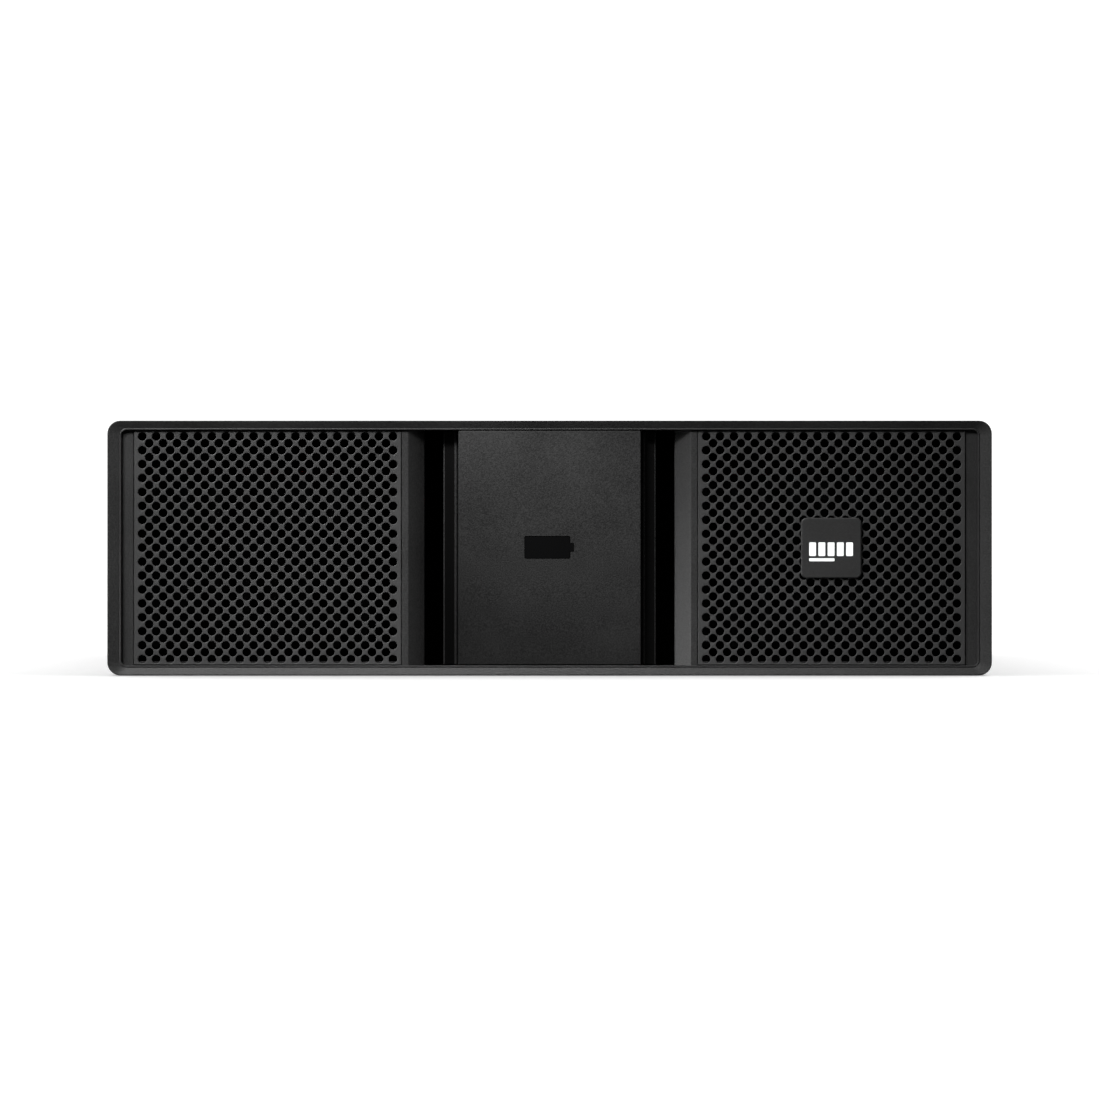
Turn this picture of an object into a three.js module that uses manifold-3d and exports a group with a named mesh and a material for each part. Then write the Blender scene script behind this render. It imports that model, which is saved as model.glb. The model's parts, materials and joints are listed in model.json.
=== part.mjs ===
// External battery module for a 19-inch rack, 3U high.
//
// A sheet-steel chassis holds two battery trays side by side, with a cable channel between them.
// A moulded bezel with two grilles closes the front, and a separate cover hides the tray plugs.
// The trays slide out forwards once the bezel is off. Breaker, outlets and ports are at the back.
//
// Millimetres. X runs across the front, with +X to the right as the bezel is faced.
// Y runs from the rim's front face towards the back, and Z up from the surface it stands on.
// The exported group moves that frame so that the origin is under the middle of the whole box.

import * as THREE from "three";
import { mergeVertices } from "three/addons/utils/BufferGeometryUtils.js";
import Module from "manifold-3d";

// ---------------------------------------------------------------- driving dimensions

const WIDTH = 440;
const HEIGHT = 127;
const DEPTH = 680;
const SHEET = 1.2; // chassis and tray steel
const GAP = 0.3; // left between pieces that touch
const MIRRORED = [-1, 1]; // left and right

const BEZEL = {
  depth: 40,
  foot: 0.2, // its lower edge stands clear of the shelf
  corner: 6.5,
  innerCorner: 2.5,
  edge: 1.2, // chamfer round the front
  wall: 2.6,
  openX: 213, // inner edges of the rim
  openZ: [5.2, 122.2],
  recess: 2.6, // front face of the grilles
  strip: 3.6, // narrow strip between rim and grille
  back: 6.2, // back of the front panel
};

// The sloped bar beside each finger slot: a land, a slope down into the slot, then a wall.
const GRIP = { landX: 70.2, slotX: 62.3, slotY: 9.5, wall: 2, bendX: 69.2, foldY: 10.4, end: 16 };

const GRILLE = {
  insideX: 73.6, // seat in the bezel
  outsideX: 207.1,
  ledge: 1.8, // what the plate rests on, all round
  thick: 1.5,
};

const COVER = {
  faceX: 45.4,
  front: 1.2, // its face, behind the rim's
  skin: 2.2,
  stepX: 53, // recessed step beside the face
  stepY: 7.4,
  lipY: 13,
};

const PRONG = { x: [28.5, 37.5], thick: 2, reach: 20 };
const SYMBOL = { x: [-12.4, 10.2], z: [58.4, 69.5], nubX: 12, nubZ: [61.8, 65.9], deep: 1.1 };
const BADGE = { x: 140.1, z: 63.6, size: 30, corner: 2.6, y: [0.7, 2.3] };
const CLIP = { x: [214.4, 216.4], y: [28, 54], height: 12, z: [25, 90], root: 38, foot: 1.2 };

const CASE = {
  front: 40.4,
  back: 674.5,
  outX: 218, // outer faces of the base pan
  top: 125,
};

const EAR_HOLES = { y: [58, 92], z: [25, 100], radius: 2.2 };
const TRAY_GUIDE = { y: [60, 560], top: 14 }; // strip on the pan's floor outside each tray
const TOP_COVER = { sideZ: 110, rearZ: 114, back: 677.5 }; // lower edges of its flanges
const BULKHEAD = { y: 41.5, postX: 11, barX: 210.6, edgeX: 216.4, beamZ: 113.4, top: 124 };
const BULKHEAD_FLANGE = { topBack: 54, sideBack: 56, sideZ: [45, 80] };
const CHANNEL = { x: 10.8, y: [43.2, 568], top: 100 };
const REAR = { y: 674.8, halfX: 216.2, z: [1.5, 124], flangeY: 661.8, flangeZ: [10, 115] };
const TOP_SHEET = { x: 214, y: [57, 672], z: [124.3, 125] }; // insulation under the top cover

const SOCKET = { halfX: 8, halfZ: 18.3, y: [38, 78], left: 88, right: 40 };
const SOCKET_MOUTH = { halfX: 6, halfZ: 16, end: 57 };
const SOCKET_FLANGE = { halfX: 9.4, y: [43, 45], more: 2 };
const PLUG = { front: 24, room: 0.4, end: 55.5 }; // room is left round its nose in the mouth
const CABLE = { radius: 4.4, sides: 8, steps: 30 };
const LEAD = { across: 6, tall: 14, x: 34, frontY: 10, bend: 11, backY: 61.4 };

const TRAY = { x: [11.4, 210.2], y: [44, 567.5], floor: 1.6, wallTop: 42 };
const TRAY_FRONT = { x: [1.2, 213.4], y: [39.3, 40.9], z: [5, 121], corner: 3 };
const FRONT_NOTCH = { x: 11.8, z: [20, 108], leadX: 5, leadZ: 9 }; // room for sockets and lead
const FRONT_VENTS = { from: 76, pitch: 15, count: 9, wide: 5, z: [[14, 50], [76, 112]] };
const HANDLE = { legs: [70, 162], frontY: 18, z: 63, radius: 3, bend: 10 };

const BLOCK = { x: 65, y: 151, z: 94, lid: 10, lip: 0.4, pitch: 0.4, floor: 3.1 };
const TERMINAL = { x: 21, half: 4, y: [6, 14], tall: 4.5 };
const ROWS = { x: 13, y: 111.8, columns: 3, deep: 3 };
const CROSS_BLOCK = { x: 57.6, y: 46 };
const HOLD_DOWN = { y: [300, 320], thick: 1.6 };
const FUSE_BLOCK = { x: [20, 48], back: 106, shoulder: 84, inset: 3, top: 100 };

const BREAKER = { x: -12, half: 27, y: [606, 671], z: [20, 105], nose: [40, 85], noseY: 678 };
const PIVOT = { y: 668, z: 62.5, drum: 7.6, half: 24, lever: 13, rest: -35 };

const OUTLETS = [62, 128];
const OUTLET = { z: 62.5, half: 19, tall: 9, y: [642, 680], wall: 3, bottom: 664 };
const OUTLET_FLANGE = { half: 27, tall: 15, thick: 2.2 };
const OUTLET_CUTOUT = { half: 22, tall: 12 }; // in the rear sheet, covered by the flange
const BUSBAR = { offset: 5, thick: 3, past: 15 }; // above and below the outlets' middle
const PORTS = [-78, -104];
const PORT = { half: 12.8, z: [48, 70], y: [658, 677], bottom: 663 };
const PORT_MOUTH = { half: 5.9, z: [7, 13.8] }; // heights above the port's underside
const PORT_KEYWAY = { half: 3, z: [13, 15.8] };
const BOARD = { x: [-118, -64], y: [628, 673], thick: 1.6 };
const STUD = { x: -196, z: 22, radius: 2.5, from: 664, hole: 3.2 };
const STUD_WASHER = { radius: 6.5, thick: 1.2 };
const STUD_NUT = { radius: 5, thick: 2.2 };

// ---------------------------------------------------------------- materials

const finish = (color, roughness, metalness) =>
  new THREE.MeshStandardMaterial({ color, roughness, metalness, flatShading: true });

const MATERIAL = {
  bezelPlastic: finish(0x26272a, 0.6, 0),
  grilleSteel: finish(0x2a2b2e, 0.55, 0.3),
  coverPlastic: finish(0x2d2e31, 0.55, 0),
  badgePlastic: finish(0x2c2d2f, 0.45, 0),
  symbolGloss: finish(0x101113, 0.25, 0),
  chassisPaint: finish(0x1d1e20, 0.6, 0.4),
  zincSteel: finish(0xb4b8bc, 0.35, 0.9),
  blockCase: finish(0x3a3c40, 0.6, 0),
  connector: finish(0x7b7f86, 0.55, 0),
  breakerCase: finish(0x4a4c50, 0.5, 0),
  breakerLever: finish(0x0f1012, 0.4, 0),
  cableJacket: finish(0x141416, 0.65, 0),
  copper: finish(0xb87348, 0.35, 1),
  board: finish(0x1f5a38, 0.5, 0),
  insulation: finish(0xd9d2b8, 0.5, 0),
  fuseBase: finish(0x6c4a24, 0.6, 0),
};

// ---------------------------------------------------------------- shape helpers

const wasm = await Module();
wasm.setup();

// A closed three.js geometry, as a solid that can be joined to others and cut.
function solidOf(geometry) {
  const bare = geometry.clone();
  bare.deleteAttribute("normal");
  bare.deleteAttribute("uv");
  const merged = mergeVertices(bare, 1e-4);
  return new wasm.Manifold(
    new wasm.Mesh({
      numProp: 3,
      vertProperties: merged.attributes.position.array,
      triVerts: new Uint32Array(merged.index.array),
    }),
  );
}

function geometryOf(solid) {
  const mesh = solid.getMesh();
  return new THREE.BufferGeometry()
    .setAttribute("position", new THREE.BufferAttribute(mesh.vertProperties, 3))
    .setIndex(new THREE.BufferAttribute(mesh.triVerts, 1));
}

// A box between two values on each axis. The X pair may come in either order.
function box(x0, x1, y0, y1, z0, z1) {
  const shape = new THREE.BoxGeometry(Math.abs(x1 - x0), y1 - y0, z1 - z0);
  return solidOf(shape.translate((x0 + x1) / 2, (y0 + y1) / 2, (z0 + z1) / 2));
}

const ROUND = 16; // sides of a turned piece

function rodY(x, z, radius, y0, y1, sides = ROUND) {
  const shape = new THREE.CylinderGeometry(radius, radius, y1 - y0, sides);
  return solidOf(shape.translate(x, (y0 + y1) / 2, z));
}

function rodX(y, z, radius, x0, x1, sides = ROUND) {
  const shape = new THREE.CylinderGeometry(radius, radius, x1 - x0, sides);
  return solidOf(shape.rotateZ(Math.PI / 2).translate((x0 + x1) / 2, y, z));
}

const outline = (points) => new THREE.Shape(points.map(([a, b]) => new THREE.Vector2(a, b)));

// A rectangle with rounded corners, in X and Z.
function roundedRect([x0, x1], [z0, z1], radius, steps = 4) {
  const centres = [
    [x1 - radius, z0 + radius],
    [x1 - radius, z1 - radius],
    [x0 + radius, z1 - radius],
    [x0 + radius, z0 + radius],
  ];
  const points = centres.flatMap(([x, z], quarter) =>
    Array.from({ length: steps + 1 }, (_, k) => {
      const angle = (quarter - 1 + k / steps) * (Math.PI / 2);
      return [x + radius * Math.cos(angle), z + radius * Math.sin(angle)];
    }),
  );
  return outline(points);
}

// An outline in X and Z, drawn out along Y from y0 to y1, with both ends chamfered.
function extrudeY(shape, y0, y1, chamfer = 0) {
  const bevel = {
    bevelEnabled: chamfer > 0,
    bevelThickness: chamfer,
    bevelSize: chamfer,
    bevelOffset: -chamfer,
    bevelSegments: 1,
  };
  const made = new THREE.ExtrudeGeometry(shape, { depth: y1 - y0 - 2 * chamfer, ...bevel });
  const turn = new THREE.Matrix4().makeBasis(
    new THREE.Vector3(1, 0, 0),
    new THREE.Vector3(0, 0, 1),
    new THREE.Vector3(0, -1, 0),
  );
  return solidOf(made.applyMatrix4(turn).translate(0, y1 - chamfer, 0));
}

// An outline in X and Y, drawn out along Z.
function extrudeZ(points, z0, z1) {
  const made = new THREE.ExtrudeGeometry(outline(points), { depth: z1 - z0, bevelEnabled: false });
  return solidOf(made.translate(0, 0, z0));
}

// An outline in Y and Z, drawn out along X.
function extrudeX(points, x0, x1) {
  const made = new THREE.ExtrudeGeometry(outline(points), { depth: x1 - x0, bevelEnabled: false });
  const turn = new THREE.Matrix4().makeBasis(
    new THREE.Vector3(0, 1, 0),
    new THREE.Vector3(0, 0, 1),
    new THREE.Vector3(1, 0, 0),
  );
  return solidOf(made.applyMatrix4(turn).translate(x0, 0, 0));
}

// Straight runs through the points, with every corner between them rounded.
function roundedPath(points, radius) {
  const path = new THREE.CurvePath();
  let from = points[0];
  for (let i = 1; i < points.length - 1; i += 1) {
    const corner = points[i];
    const before = corner.clone().add(points[i - 1].clone().sub(corner).setLength(radius));
    const after = corner.clone().add(points[i + 1].clone().sub(corner).setLength(radius));
    path.add(new THREE.LineCurve3(from, before));
    path.add(new THREE.QuadraticBezierCurve3(before, corner, after));
    from = after;
  }
  path.add(new THREE.LineCurve3(from, points.at(-1)));
  return path;
}

function alongPath(section, path, steps) {
  return solidOf(new THREE.ExtrudeGeometry(section, { steps, extrudePath: path }));
}

const roundSection = (radius, sides) =>
  outline(
    Array.from({ length: sides }, (_, k) => {
      const angle = (2 * Math.PI * k) / sides;
      return [radius * Math.cos(angle), radius * Math.sin(angle)];
    }),
  );

const joined = (solids) => solids.reduce((a, b) => a.add(b));
const cutFrom = (solid, tools) => tools.reduce((a, b) => a.subtract(b), solid);
const mirroredX = (points) => points.map(([x, y]) => [-x, y]).reverse();

function piece(name, solid, material) {
  const mesh = new THREE.Mesh(geometryOf(solid), material);
  mesh.name = name;
  return mesh;
}

// ---------------------------------------------------------------- front bezel

const SEAT_Y = BEZEL.recess + GRILLE.thick + GAP; // front of the ledges under the grilles

// The two sloped bars beside the centre cover, in X and Y. A hand goes in between bar and cover.
function gripBar(side) {
  const seatX = GRILLE.insideX;
  const section = [
    [seatX, BEZEL.recess],
    [seatX, SEAT_Y],
    [seatX + GRILLE.ledge, SEAT_Y],
    [seatX + GRILLE.ledge, BEZEL.back],
    [GRIP.bendX, BEZEL.back],
    [GRIP.slotX + GRIP.wall, GRIP.foldY],
    [GRIP.slotX + GRIP.wall, GRIP.end],
    [GRIP.slotX, GRIP.end],
    [GRIP.slotX, GRIP.slotY],
    [GRIP.landX, BEZEL.recess],
  ];
  const points = side > 0 ? section : mirroredX(section);
  return extrudeZ(points, BEZEL.foot + BEZEL.wall - 0.1, HEIGHT - BEZEL.wall + 0.1);
}

// Rails behind the cover, with pockets for its prongs.
function coverRails() {
  const [low, high] = BEZEL.openZ;
  const rail = { halfX: 42, y: [10, 15], tall: 5.2, room: 0.4 };
  const inside = [BEZEL.foot + BEZEL.wall - 0.2, HEIGHT - BEZEL.wall + 0.2];
  const bars = [
    box(-rail.halfX, rail.halfX, ...rail.y, inside[0], low + rail.tall),
    box(-rail.halfX, rail.halfX, ...rail.y, high - rail.tall, inside[1]),
  ];
  const pockets = MIRRORED.flatMap((side) => {
    const x = [side * (PRONG.x[0] - rail.room), side * (PRONG.x[1] + rail.room)];
    const y = [rail.y[0] - 1, rail.y[1] + 1];
    return [
      box(...x, ...y, prongZ()[0] - rail.room, prongZ()[0] + PRONG.thick + rail.room),
      box(...x, ...y, prongZ()[1] - PRONG.thick - rail.room, prongZ()[1] + rail.room),
    ];
  });
  return cutFrom(joined(bars), pockets);
}

// Outer faces of the lower and the upper prongs.
const prongZ = () => [BEZEL.openZ[0] + 2 * GAP, BEZEL.openZ[1] - 2 * GAP];

function bezelClips() {
  const parts = MIRRORED.flatMap((side) =>
    CLIP.z.flatMap((z) => [
      box(side * CLIP.x[0], side * CLIP.x[1], CLIP.y[0], CLIP.y[1], z, z + CLIP.height),
      box(side * CLIP.x[0], side * (CLIP.x[1] + CLIP.foot), CLIP.y[0], CLIP.root, z, z + CLIP.height),
    ]),
  );
  return joined(parts);
}

function bezelFrame() {
  const { depth, foot, corner, innerCorner, edge, wall, openX, openZ, recess, strip, back } = BEZEL;
  const half = WIDTH / 2;
  const longer = depth + 2 * edge; // the chamfer at the back end is cut off again
  const body = extrudeY(roundedRect([-half, half], [foot, HEIGHT], corner), 0, longer, edge);
  const hollow = roundedRect([wall - half, half - wall], [foot + wall, HEIGHT - wall], corner - wall);
  const through = [recess - 1, back + 1];
  const cuts = [
    box(-WIDTH, WIDTH, depth, longer + 1, -1, HEIGHT + 1),
    extrudeY(roundedRect([-openX, openX], openZ, innerCorner), -1, recess),
    extrudeY(hollow, back, longer + 1),
    box(-GRILLE.insideX, GRILLE.insideX, ...through, ...openZ),
  ];
  const ledge = [openZ[0] + GRILLE.ledge, openZ[1] - GRILLE.ledge];
  for (const side of MIRRORED) {
    const seat = [side * GRILLE.insideX, side * GRILLE.outsideX];
    const window = [side * (GRILLE.insideX + GRILLE.ledge), side * (GRILLE.outsideX - GRILLE.ledge)];
    cuts.push(box(seat[1], side * openX, recess - 1, strip, ...openZ));
    cuts.push(box(...seat, recess - 1, SEAT_Y, ...openZ));
    cuts.push(box(...window, ...through, ...ledge));
  }
  return cutFrom(body, cuts).add(joined([...MIRRORED.map(gripBar), coverRails(), bezelClips()]));
}

// The perforated plate's outer size. Its many small round holes are left out of this solid.
function grille(side) {
  const x = [side * (GRILLE.insideX + GAP), side * (GRILLE.outsideX - GAP)];
  const z = [BEZEL.openZ[0] + GAP, BEZEL.openZ[1] - GAP];
  return box(...x, BEZEL.recess, BEZEL.recess + GRILLE.thick, ...z);
}

function badge() {
  const half = BADGE.size / 2;
  const shape = roundedRect(
    [BADGE.x - half, BADGE.x + half],
    [BADGE.z - half, BADGE.z + half],
    BADGE.corner,
  );
  return extrudeY(shape, ...BADGE.y, 0.4);
}

// ---------------------------------------------------------------- centre cover

const symbolOutline = (room) =>
  joined([
    box(SYMBOL.x[0] - room, SYMBOL.x[1] + room, 0, 1, SYMBOL.z[0] - room, SYMBOL.z[1] + room),
    box(SYMBOL.x[1] - 1, SYMBOL.nubX + room, 0, 1, SYMBOL.nubZ[0] - room, SYMBOL.nubZ[1] + room),
  ]);

function centreCover() {
  const { faceX, front, skin, stepX, stepY, lipY } = COVER;
  const bevel = 0.8;
  const half = [
    [faceX - bevel, front],
    [faceX, front + bevel],
    [faceX, stepY],
    [stepX - bevel, stepY],
    [stepX, stepY + bevel],
    [stepX, lipY],
    [stepX - skin, lipY],
    [stepX - skin, stepY + skin],
    [faceX - skin, stepY + skin],
    [faceX - skin, front + skin],
  ];
  const [low, high] = [BEZEL.openZ[0] + GAP, BEZEL.openZ[1] - GAP];
  const hat = extrudeZ([...half, ...mirroredX(half)], low, high);
  const prongs = MIRRORED.flatMap((side) => {
    const x = PRONG.x.map((value) => side * value);
    const y = [front + skin - 0.4, PRONG.reach];
    return [
      box(...x, ...y, prongZ()[0], prongZ()[0] + PRONG.thick),
      box(...x, ...y, prongZ()[1] - PRONG.thick, prongZ()[1]),
    ];
  });
  const pocket = symbolOutline(0.2).translate([0, front + SYMBOL.deep - 1, 0]);
  const mouth = symbolOutline(0.2).translate([0, front - 0.9, 0]);
  return cutFrom(hat.add(joined(prongs)), [pocket, mouth]);
}

// The pictogram is an inlay that lies a little below the cover's face.
function batterySymbol() {
  const back = COVER.front + SYMBOL.deep - GAP;
  const below = 0.3;
  const blank = symbolOutline(0).translate([0, back - 1, 0]);
  return blank.subtract(box(-WIDTH, WIDTH, 0, COVER.front + below, 0, HEIGHT));
}

// ---------------------------------------------------------------- chassis

function basePan() {
  const { front, back, outX, top } = CASE;
  const inX = outX - SHEET;
  const pan = box(-outX, outX, front, back, 0, top).subtract(
    box(-inX, inX, front - 1, back + 1, SHEET, top + 1),
  );
  const guideX = TRAY.x[1] + 0.4;
  const guides = MIRRORED.map((side) =>
    box(side * guideX, side * (guideX + SHEET), ...TRAY_GUIDE.y, SHEET - 0.1, TRAY_GUIDE.top),
  );
  const holes = EAR_HOLES.y.flatMap((y) =>
    EAR_HOLES.z.map((z) => rodX(y, z, EAR_HOLES.radius, -WIDTH / 2, WIDTH / 2, 12)),
  );
  return cutFrom(pan.add(joined(guides)), holes);
}

function topCover() {
  const z = CASE.top + GAP;
  const inX = CASE.outX + GAP;
  const outX = inX + SHEET;
  const { sideZ, rearZ, back } = TOP_COVER;
  const overlap = SHEET / 2;
  const section = outline([
    [-outX, sideZ],
    [-inX, sideZ],
    [-inX, z],
    [inX, z],
    [inX, sideZ],
    [outX, sideZ],
    [outX, z + SHEET],
    [-outX, z + SHEET],
  ]);
  const rearX = inX + overlap;
  const rearFlange = box(-rearX, rearX, back - SHEET, back, rearZ, z + overlap);
  return extrudeY(section, CASE.front, back).add(rearFlange);
}

function frontBulkhead() {
  const { y, postX, barX, edgeX, beamZ, top } = BULKHEAD;
  const { topBack, sideBack, sideZ } = BULKHEAD_FLANGE;
  const low = SHEET + GAP;
  const sheet = [y, y + SHEET];
  const behind = y + SHEET - 0.1;
  const parts = [
    box(-edgeX, edgeX, ...sheet, beamZ, top),
    box(-edgeX, edgeX, behind, topBack, top - SHEET, top),
    box(-postX, postX, ...sheet, low, beamZ + 0.1),
  ];
  const cuts = [SOCKET.left, SOCKET.right].map((z) => {
    const room = 0.4;
    const [halfX, halfZ] = [SOCKET.halfX + room, SOCKET.halfZ + room];
    return box(-halfX, halfX, y - 1, y + SHEET + 1, z - halfZ, z + halfZ);
  });
  for (const side of MIRRORED) {
    parts.push(box(side * barX, side * edgeX, ...sheet, low, beamZ + 0.1));
    parts.push(box(side * (edgeX - SHEET), side * edgeX, behind, sideBack, ...sideZ));
    for (const z of CLIP.z) {
      const notch = [side * (CLIP.x[0] - 0.6), side * (edgeX + 1)];
      cuts.push(box(...notch, y - 1, y + SHEET + 1, z - 1, z + CLIP.height + 1));
    }
  }
  return cutFrom(joined(parts), cuts);
}

function cableChannel() {
  const { x, y, top } = CHANNEL;
  const low = SHEET + GAP;
  const inX = x - SHEET;
  return box(-x, x, ...y, low, top).subtract(
    box(-inX, inX, y[0] - 1, y[1] + 1, low + SHEET, top + 1),
  );
}

// The rear sheet with its cut-outs. Its vents are left out of this solid.
function rearPanel() {
  const { y, halfX, z, flangeY, flangeZ } = REAR;
  const plate = box(-halfX, halfX, y, y + SHEET, ...z);
  const flanges = MIRRORED.map((side) =>
    box(side * (halfX - SHEET), side * halfX, flangeY, y + 0.1, ...flangeZ),
  );
  const through = [y - 1, y + SHEET + 1];
  const { half: outletX, tall: outletZ } = OUTLET_CUTOUT;
  const hole = (x, half, low, high) => box(x - half, x + half, ...through, low - GAP, high + GAP);
  const cuts = [
    hole(BREAKER.x, BREAKER.half, ...BREAKER.nose),
    ...OUTLETS.map((x) => hole(x, outletX, OUTLET.z - outletZ, OUTLET.z + outletZ)),
    hole((PORTS[0] + PORTS[1]) / 2, (PORTS[0] - PORTS[1]) / 2 + PORT.half + GAP, ...PORT.z),
    rodY(STUD.x, STUD.z, STUD.hole, ...through),
  ];
  return cutFrom(plate.add(joined(flanges)), cuts);
}

const insulatingSheet = () => box(-TOP_SHEET.x, TOP_SHEET.x, ...TOP_SHEET.y, ...TOP_SHEET.z);

// ---------------------------------------------------------------- wiring inside

// A housing in the bulkhead's centre post, which a tray's plug enters from the front.
function stringSocket(z) {
  const { halfX, halfZ, y } = SOCKET;
  const { halfX: mouthX, halfZ: mouthZ, end } = SOCKET_MOUTH;
  const flangeZ = halfZ + SOCKET_FLANGE.more;
  return box(-halfX, halfX, ...y, z - halfZ, z + halfZ)
    .add(box(-SOCKET_FLANGE.halfX, SOCKET_FLANGE.halfX, ...SOCKET_FLANGE.y, z - flangeZ, z + flangeZ))
    .subtract(box(-mouthX, mouthX, y[0] - 1, end, z - mouthZ, z + mouthZ));
}

// From a socket back along the channel to the breaker.
function stringCable(points) {
  const route = new THREE.CatmullRomCurve3(points.map((point) => new THREE.Vector3(...point)));
  return alongPath(roundSection(CABLE.radius, CABLE.sides), route, CABLE.steps);
}

const CABLE_ROUTES = {
  left: [
    [0, 78.3, 88],
    [0, 100, 88],
    [0, 150, 68],
    [0, 210, 57],
    [0, 400, 56],
    [0, 540, 56],
    [0, 562, 56],
    [-5, 576, 58],
    [-20, 590, 62],
    [-22, 598, 62],
    [-22, 605.3, 62],
  ],
  right: [
    [0, 78.3, 40],
    [0, 100, 40],
    [0, 150, 30],
    [0, 210, 22],
    [0, 400, 21],
    [0, 540, 22],
    [0, 574, 30],
    [0, 588, 37],
    [0, 597, 38],
    [0, 605.3, 38],
  ],
};

function circuitBreaker() {
  const { x, half, y, z, nose, noseY } = BREAKER;
  const noseHalf = half - GAP;
  const slot = { half: PIVOT.half + 0.6, radius: PIVOT.drum + 0.6, tall: 14 };
  const body = joined([
    box(x - half, x + half, ...y, ...z),
    box(x - noseHalf, x + noseHalf, y[1] - 0.1, noseY, ...nose),
  ]);
  return cutFrom(body, [
    rodX(PIVOT.y, PIVOT.z, slot.radius, x - slot.half, x + slot.half, 24),
    box(x - slot.half, x + slot.half, PIVOT.y, DEPTH, PIVOT.z - slot.tall, PIVOT.z + slot.tall),
  ]);
}

// At rest the lever points down, which is off. It turns about the drum's axis.
function breakerToggle() {
  const { y, z, drum, half, lever, rest } = PIVOT;
  const angle = THREE.MathUtils.degToRad(rest);
  const [root, tip, wide] = [3.4, 1.5, 20];
  const section = [
    [0, -root],
    [lever, -tip],
    [lever, tip],
    [0, root],
  ].map(([a, b]) => [
    y + a * Math.cos(angle) - b * Math.sin(angle),
    z + a * Math.sin(angle) + b * Math.cos(angle),
  ]);
  return rodX(y, z, drum, BREAKER.x - half, BREAKER.x + half, 24).add(
    extrudeX(section, BREAKER.x - wide, BREAKER.x + wide),
  );
}

function dcOutlet(x) {
  const { z, half, tall, y, wall, bottom } = OUTLET;
  const { half: flangeX, tall: flangeZ, thick } = OUTLET_FLANGE;
  const outside = REAR.y + SHEET + GAP;
  return joined([
    box(x - half, x + half, ...y, z - tall, z + tall),
    box(x - flangeX, x + flangeX, outside, outside + thick, z - flangeZ, z + flangeZ),
  ]).subtract(
    box(x - half + wall, x + half - wall, bottom, y[1] + 1, z - tall + wall, z + tall - wall),
  );
}

function detectionPort(x) {
  const { half, z, y, bottom } = PORT;
  const body = box(x - half, x + half, ...y, ...z);
  const cuts = [PORT_MOUTH, PORT_KEYWAY].map((cut) =>
    box(x - cut.half, x + cut.half, bottom, y[1] + 1, z[0] + cut.z[0], z[0] + cut.z[1]),
  );
  return cutFrom(body, cuts);
}

function detectionBoard() {
  const top = PORT.z[0] - GAP;
  return box(...BOARD.x, ...BOARD.y, top - BOARD.thick, top);
}

function outletBusbar(z) {
  const from = BREAKER.x + BREAKER.half + GAP;
  const back = OUTLET.y[0] - GAP;
  const half = BUSBAR.thick;
  return box(from, OUTLETS[1] + BUSBAR.past, back - BUSBAR.thick, back, z - half, z + half);
}

function groundStud() {
  const { x, z, radius, from } = STUD;
  const outside = REAR.y + SHEET + GAP;
  const washerTop = outside + STUD_WASHER.thick;
  return joined([
    rodY(x, z, radius, from, DEPTH - 0.1),
    rodY(x, z, STUD_WASHER.radius, outside, washerTop),
    rodY(x, z, STUD_NUT.radius, washerTop - 0.1, washerTop + STUD_NUT.thick - 0.1, 6),
  ]);
}

// ---------------------------------------------------------------- battery trays

function trayPan(side) {
  const { x, y, floor, wallTop } = TRAY;
  const [x0, x1] = [side * x[0], side * x[1]];
  const inner = [side * (x[0] + SHEET), side * (x[1] - SHEET)];
  const leadGapX = side * (CROSS_BLOCK.x - TRAY.floor); // no front wall beside the fuse block
  return cutFrom(box(x0, x1, ...y, floor, wallTop), [
    box(...inner, y[0] + SHEET, y[1] - SHEET, floor + SHEET, wallTop + 1),
    box(inner[0], leadGapX, y[0] - 1, y[0] + SHEET + 1, floor + SHEET, wallTop + 1),
  ]);
}

function trayFront(side, leadZ) {
  const { x, y, z, corner } = TRAY_FRONT;
  const across = side > 0 ? x : [-x[1], -x[0]];
  const plate = extrudeY(roundedRect(across, z, corner, 2), ...y);
  const through = [y[0] - 1, y[1] + 1];
  const { x: notchX, z: notchZ, leadX: roomX, leadZ: roomZ } = FRONT_NOTCH;
  const cuts = [
    box(0, side * notchX, ...through, ...notchZ),
    box(side * (LEAD.x - roomX), side * (LEAD.x + roomX), ...through, leadZ - roomZ, leadZ + roomZ),
  ];
  for (let k = 0; k < FRONT_VENTS.count; k += 1) {
    const at = FRONT_VENTS.from + k * FRONT_VENTS.pitch;
    for (const span of FRONT_VENTS.z) {
      cuts.push(box(side * at, side * (at + FRONT_VENTS.wide), ...through, ...span));
    }
  }
  const tabZ = [24, TRAY.wallTop - 1];
  const weldTabs = [
    [TRAY.x[0], TRAY.x[0] + SHEET],
    [TRAY.x[1] - SHEET, TRAY.x[1]],
  ].map(([a, b]) => box(side * a, side * b, y[1] - 0.1, TRAY.y[0] - GAP, ...tabZ));
  return cutFrom(plate, cuts).add(joined(weldTabs));
}

// A bent rod that stands off the tray's front plate.
function trayHandle(side) {
  const { legs, frontY, z } = HANDLE;
  const foot = TRAY_FRONT.y[0] - GAP;
  const points = [
    [side * legs[0], foot],
    [side * legs[0], frontY],
    [side * legs[1], frontY],
    [side * legs[1], foot],
  ].map(([x, y]) => new THREE.Vector3(x, y, z));
  return alongPath(roundSection(HANDLE.radius, 8), roundedPath(points, HANDLE.bend), 28);
}

function trayPlug(z) {
  const { halfX, halfZ, y } = SOCKET;
  const noseX = SOCKET_MOUTH.halfX - PLUG.room;
  const noseZ = SOCKET_MOUTH.halfZ - PLUG.room;
  const body = box(-halfX, halfX, PLUG.front, y[0] - GAP, z - halfZ, z + halfZ);
  return body.add(box(-noseX, noseX, y[0] - 1, PLUG.end, z - noseZ, z + noseZ));
}

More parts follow.
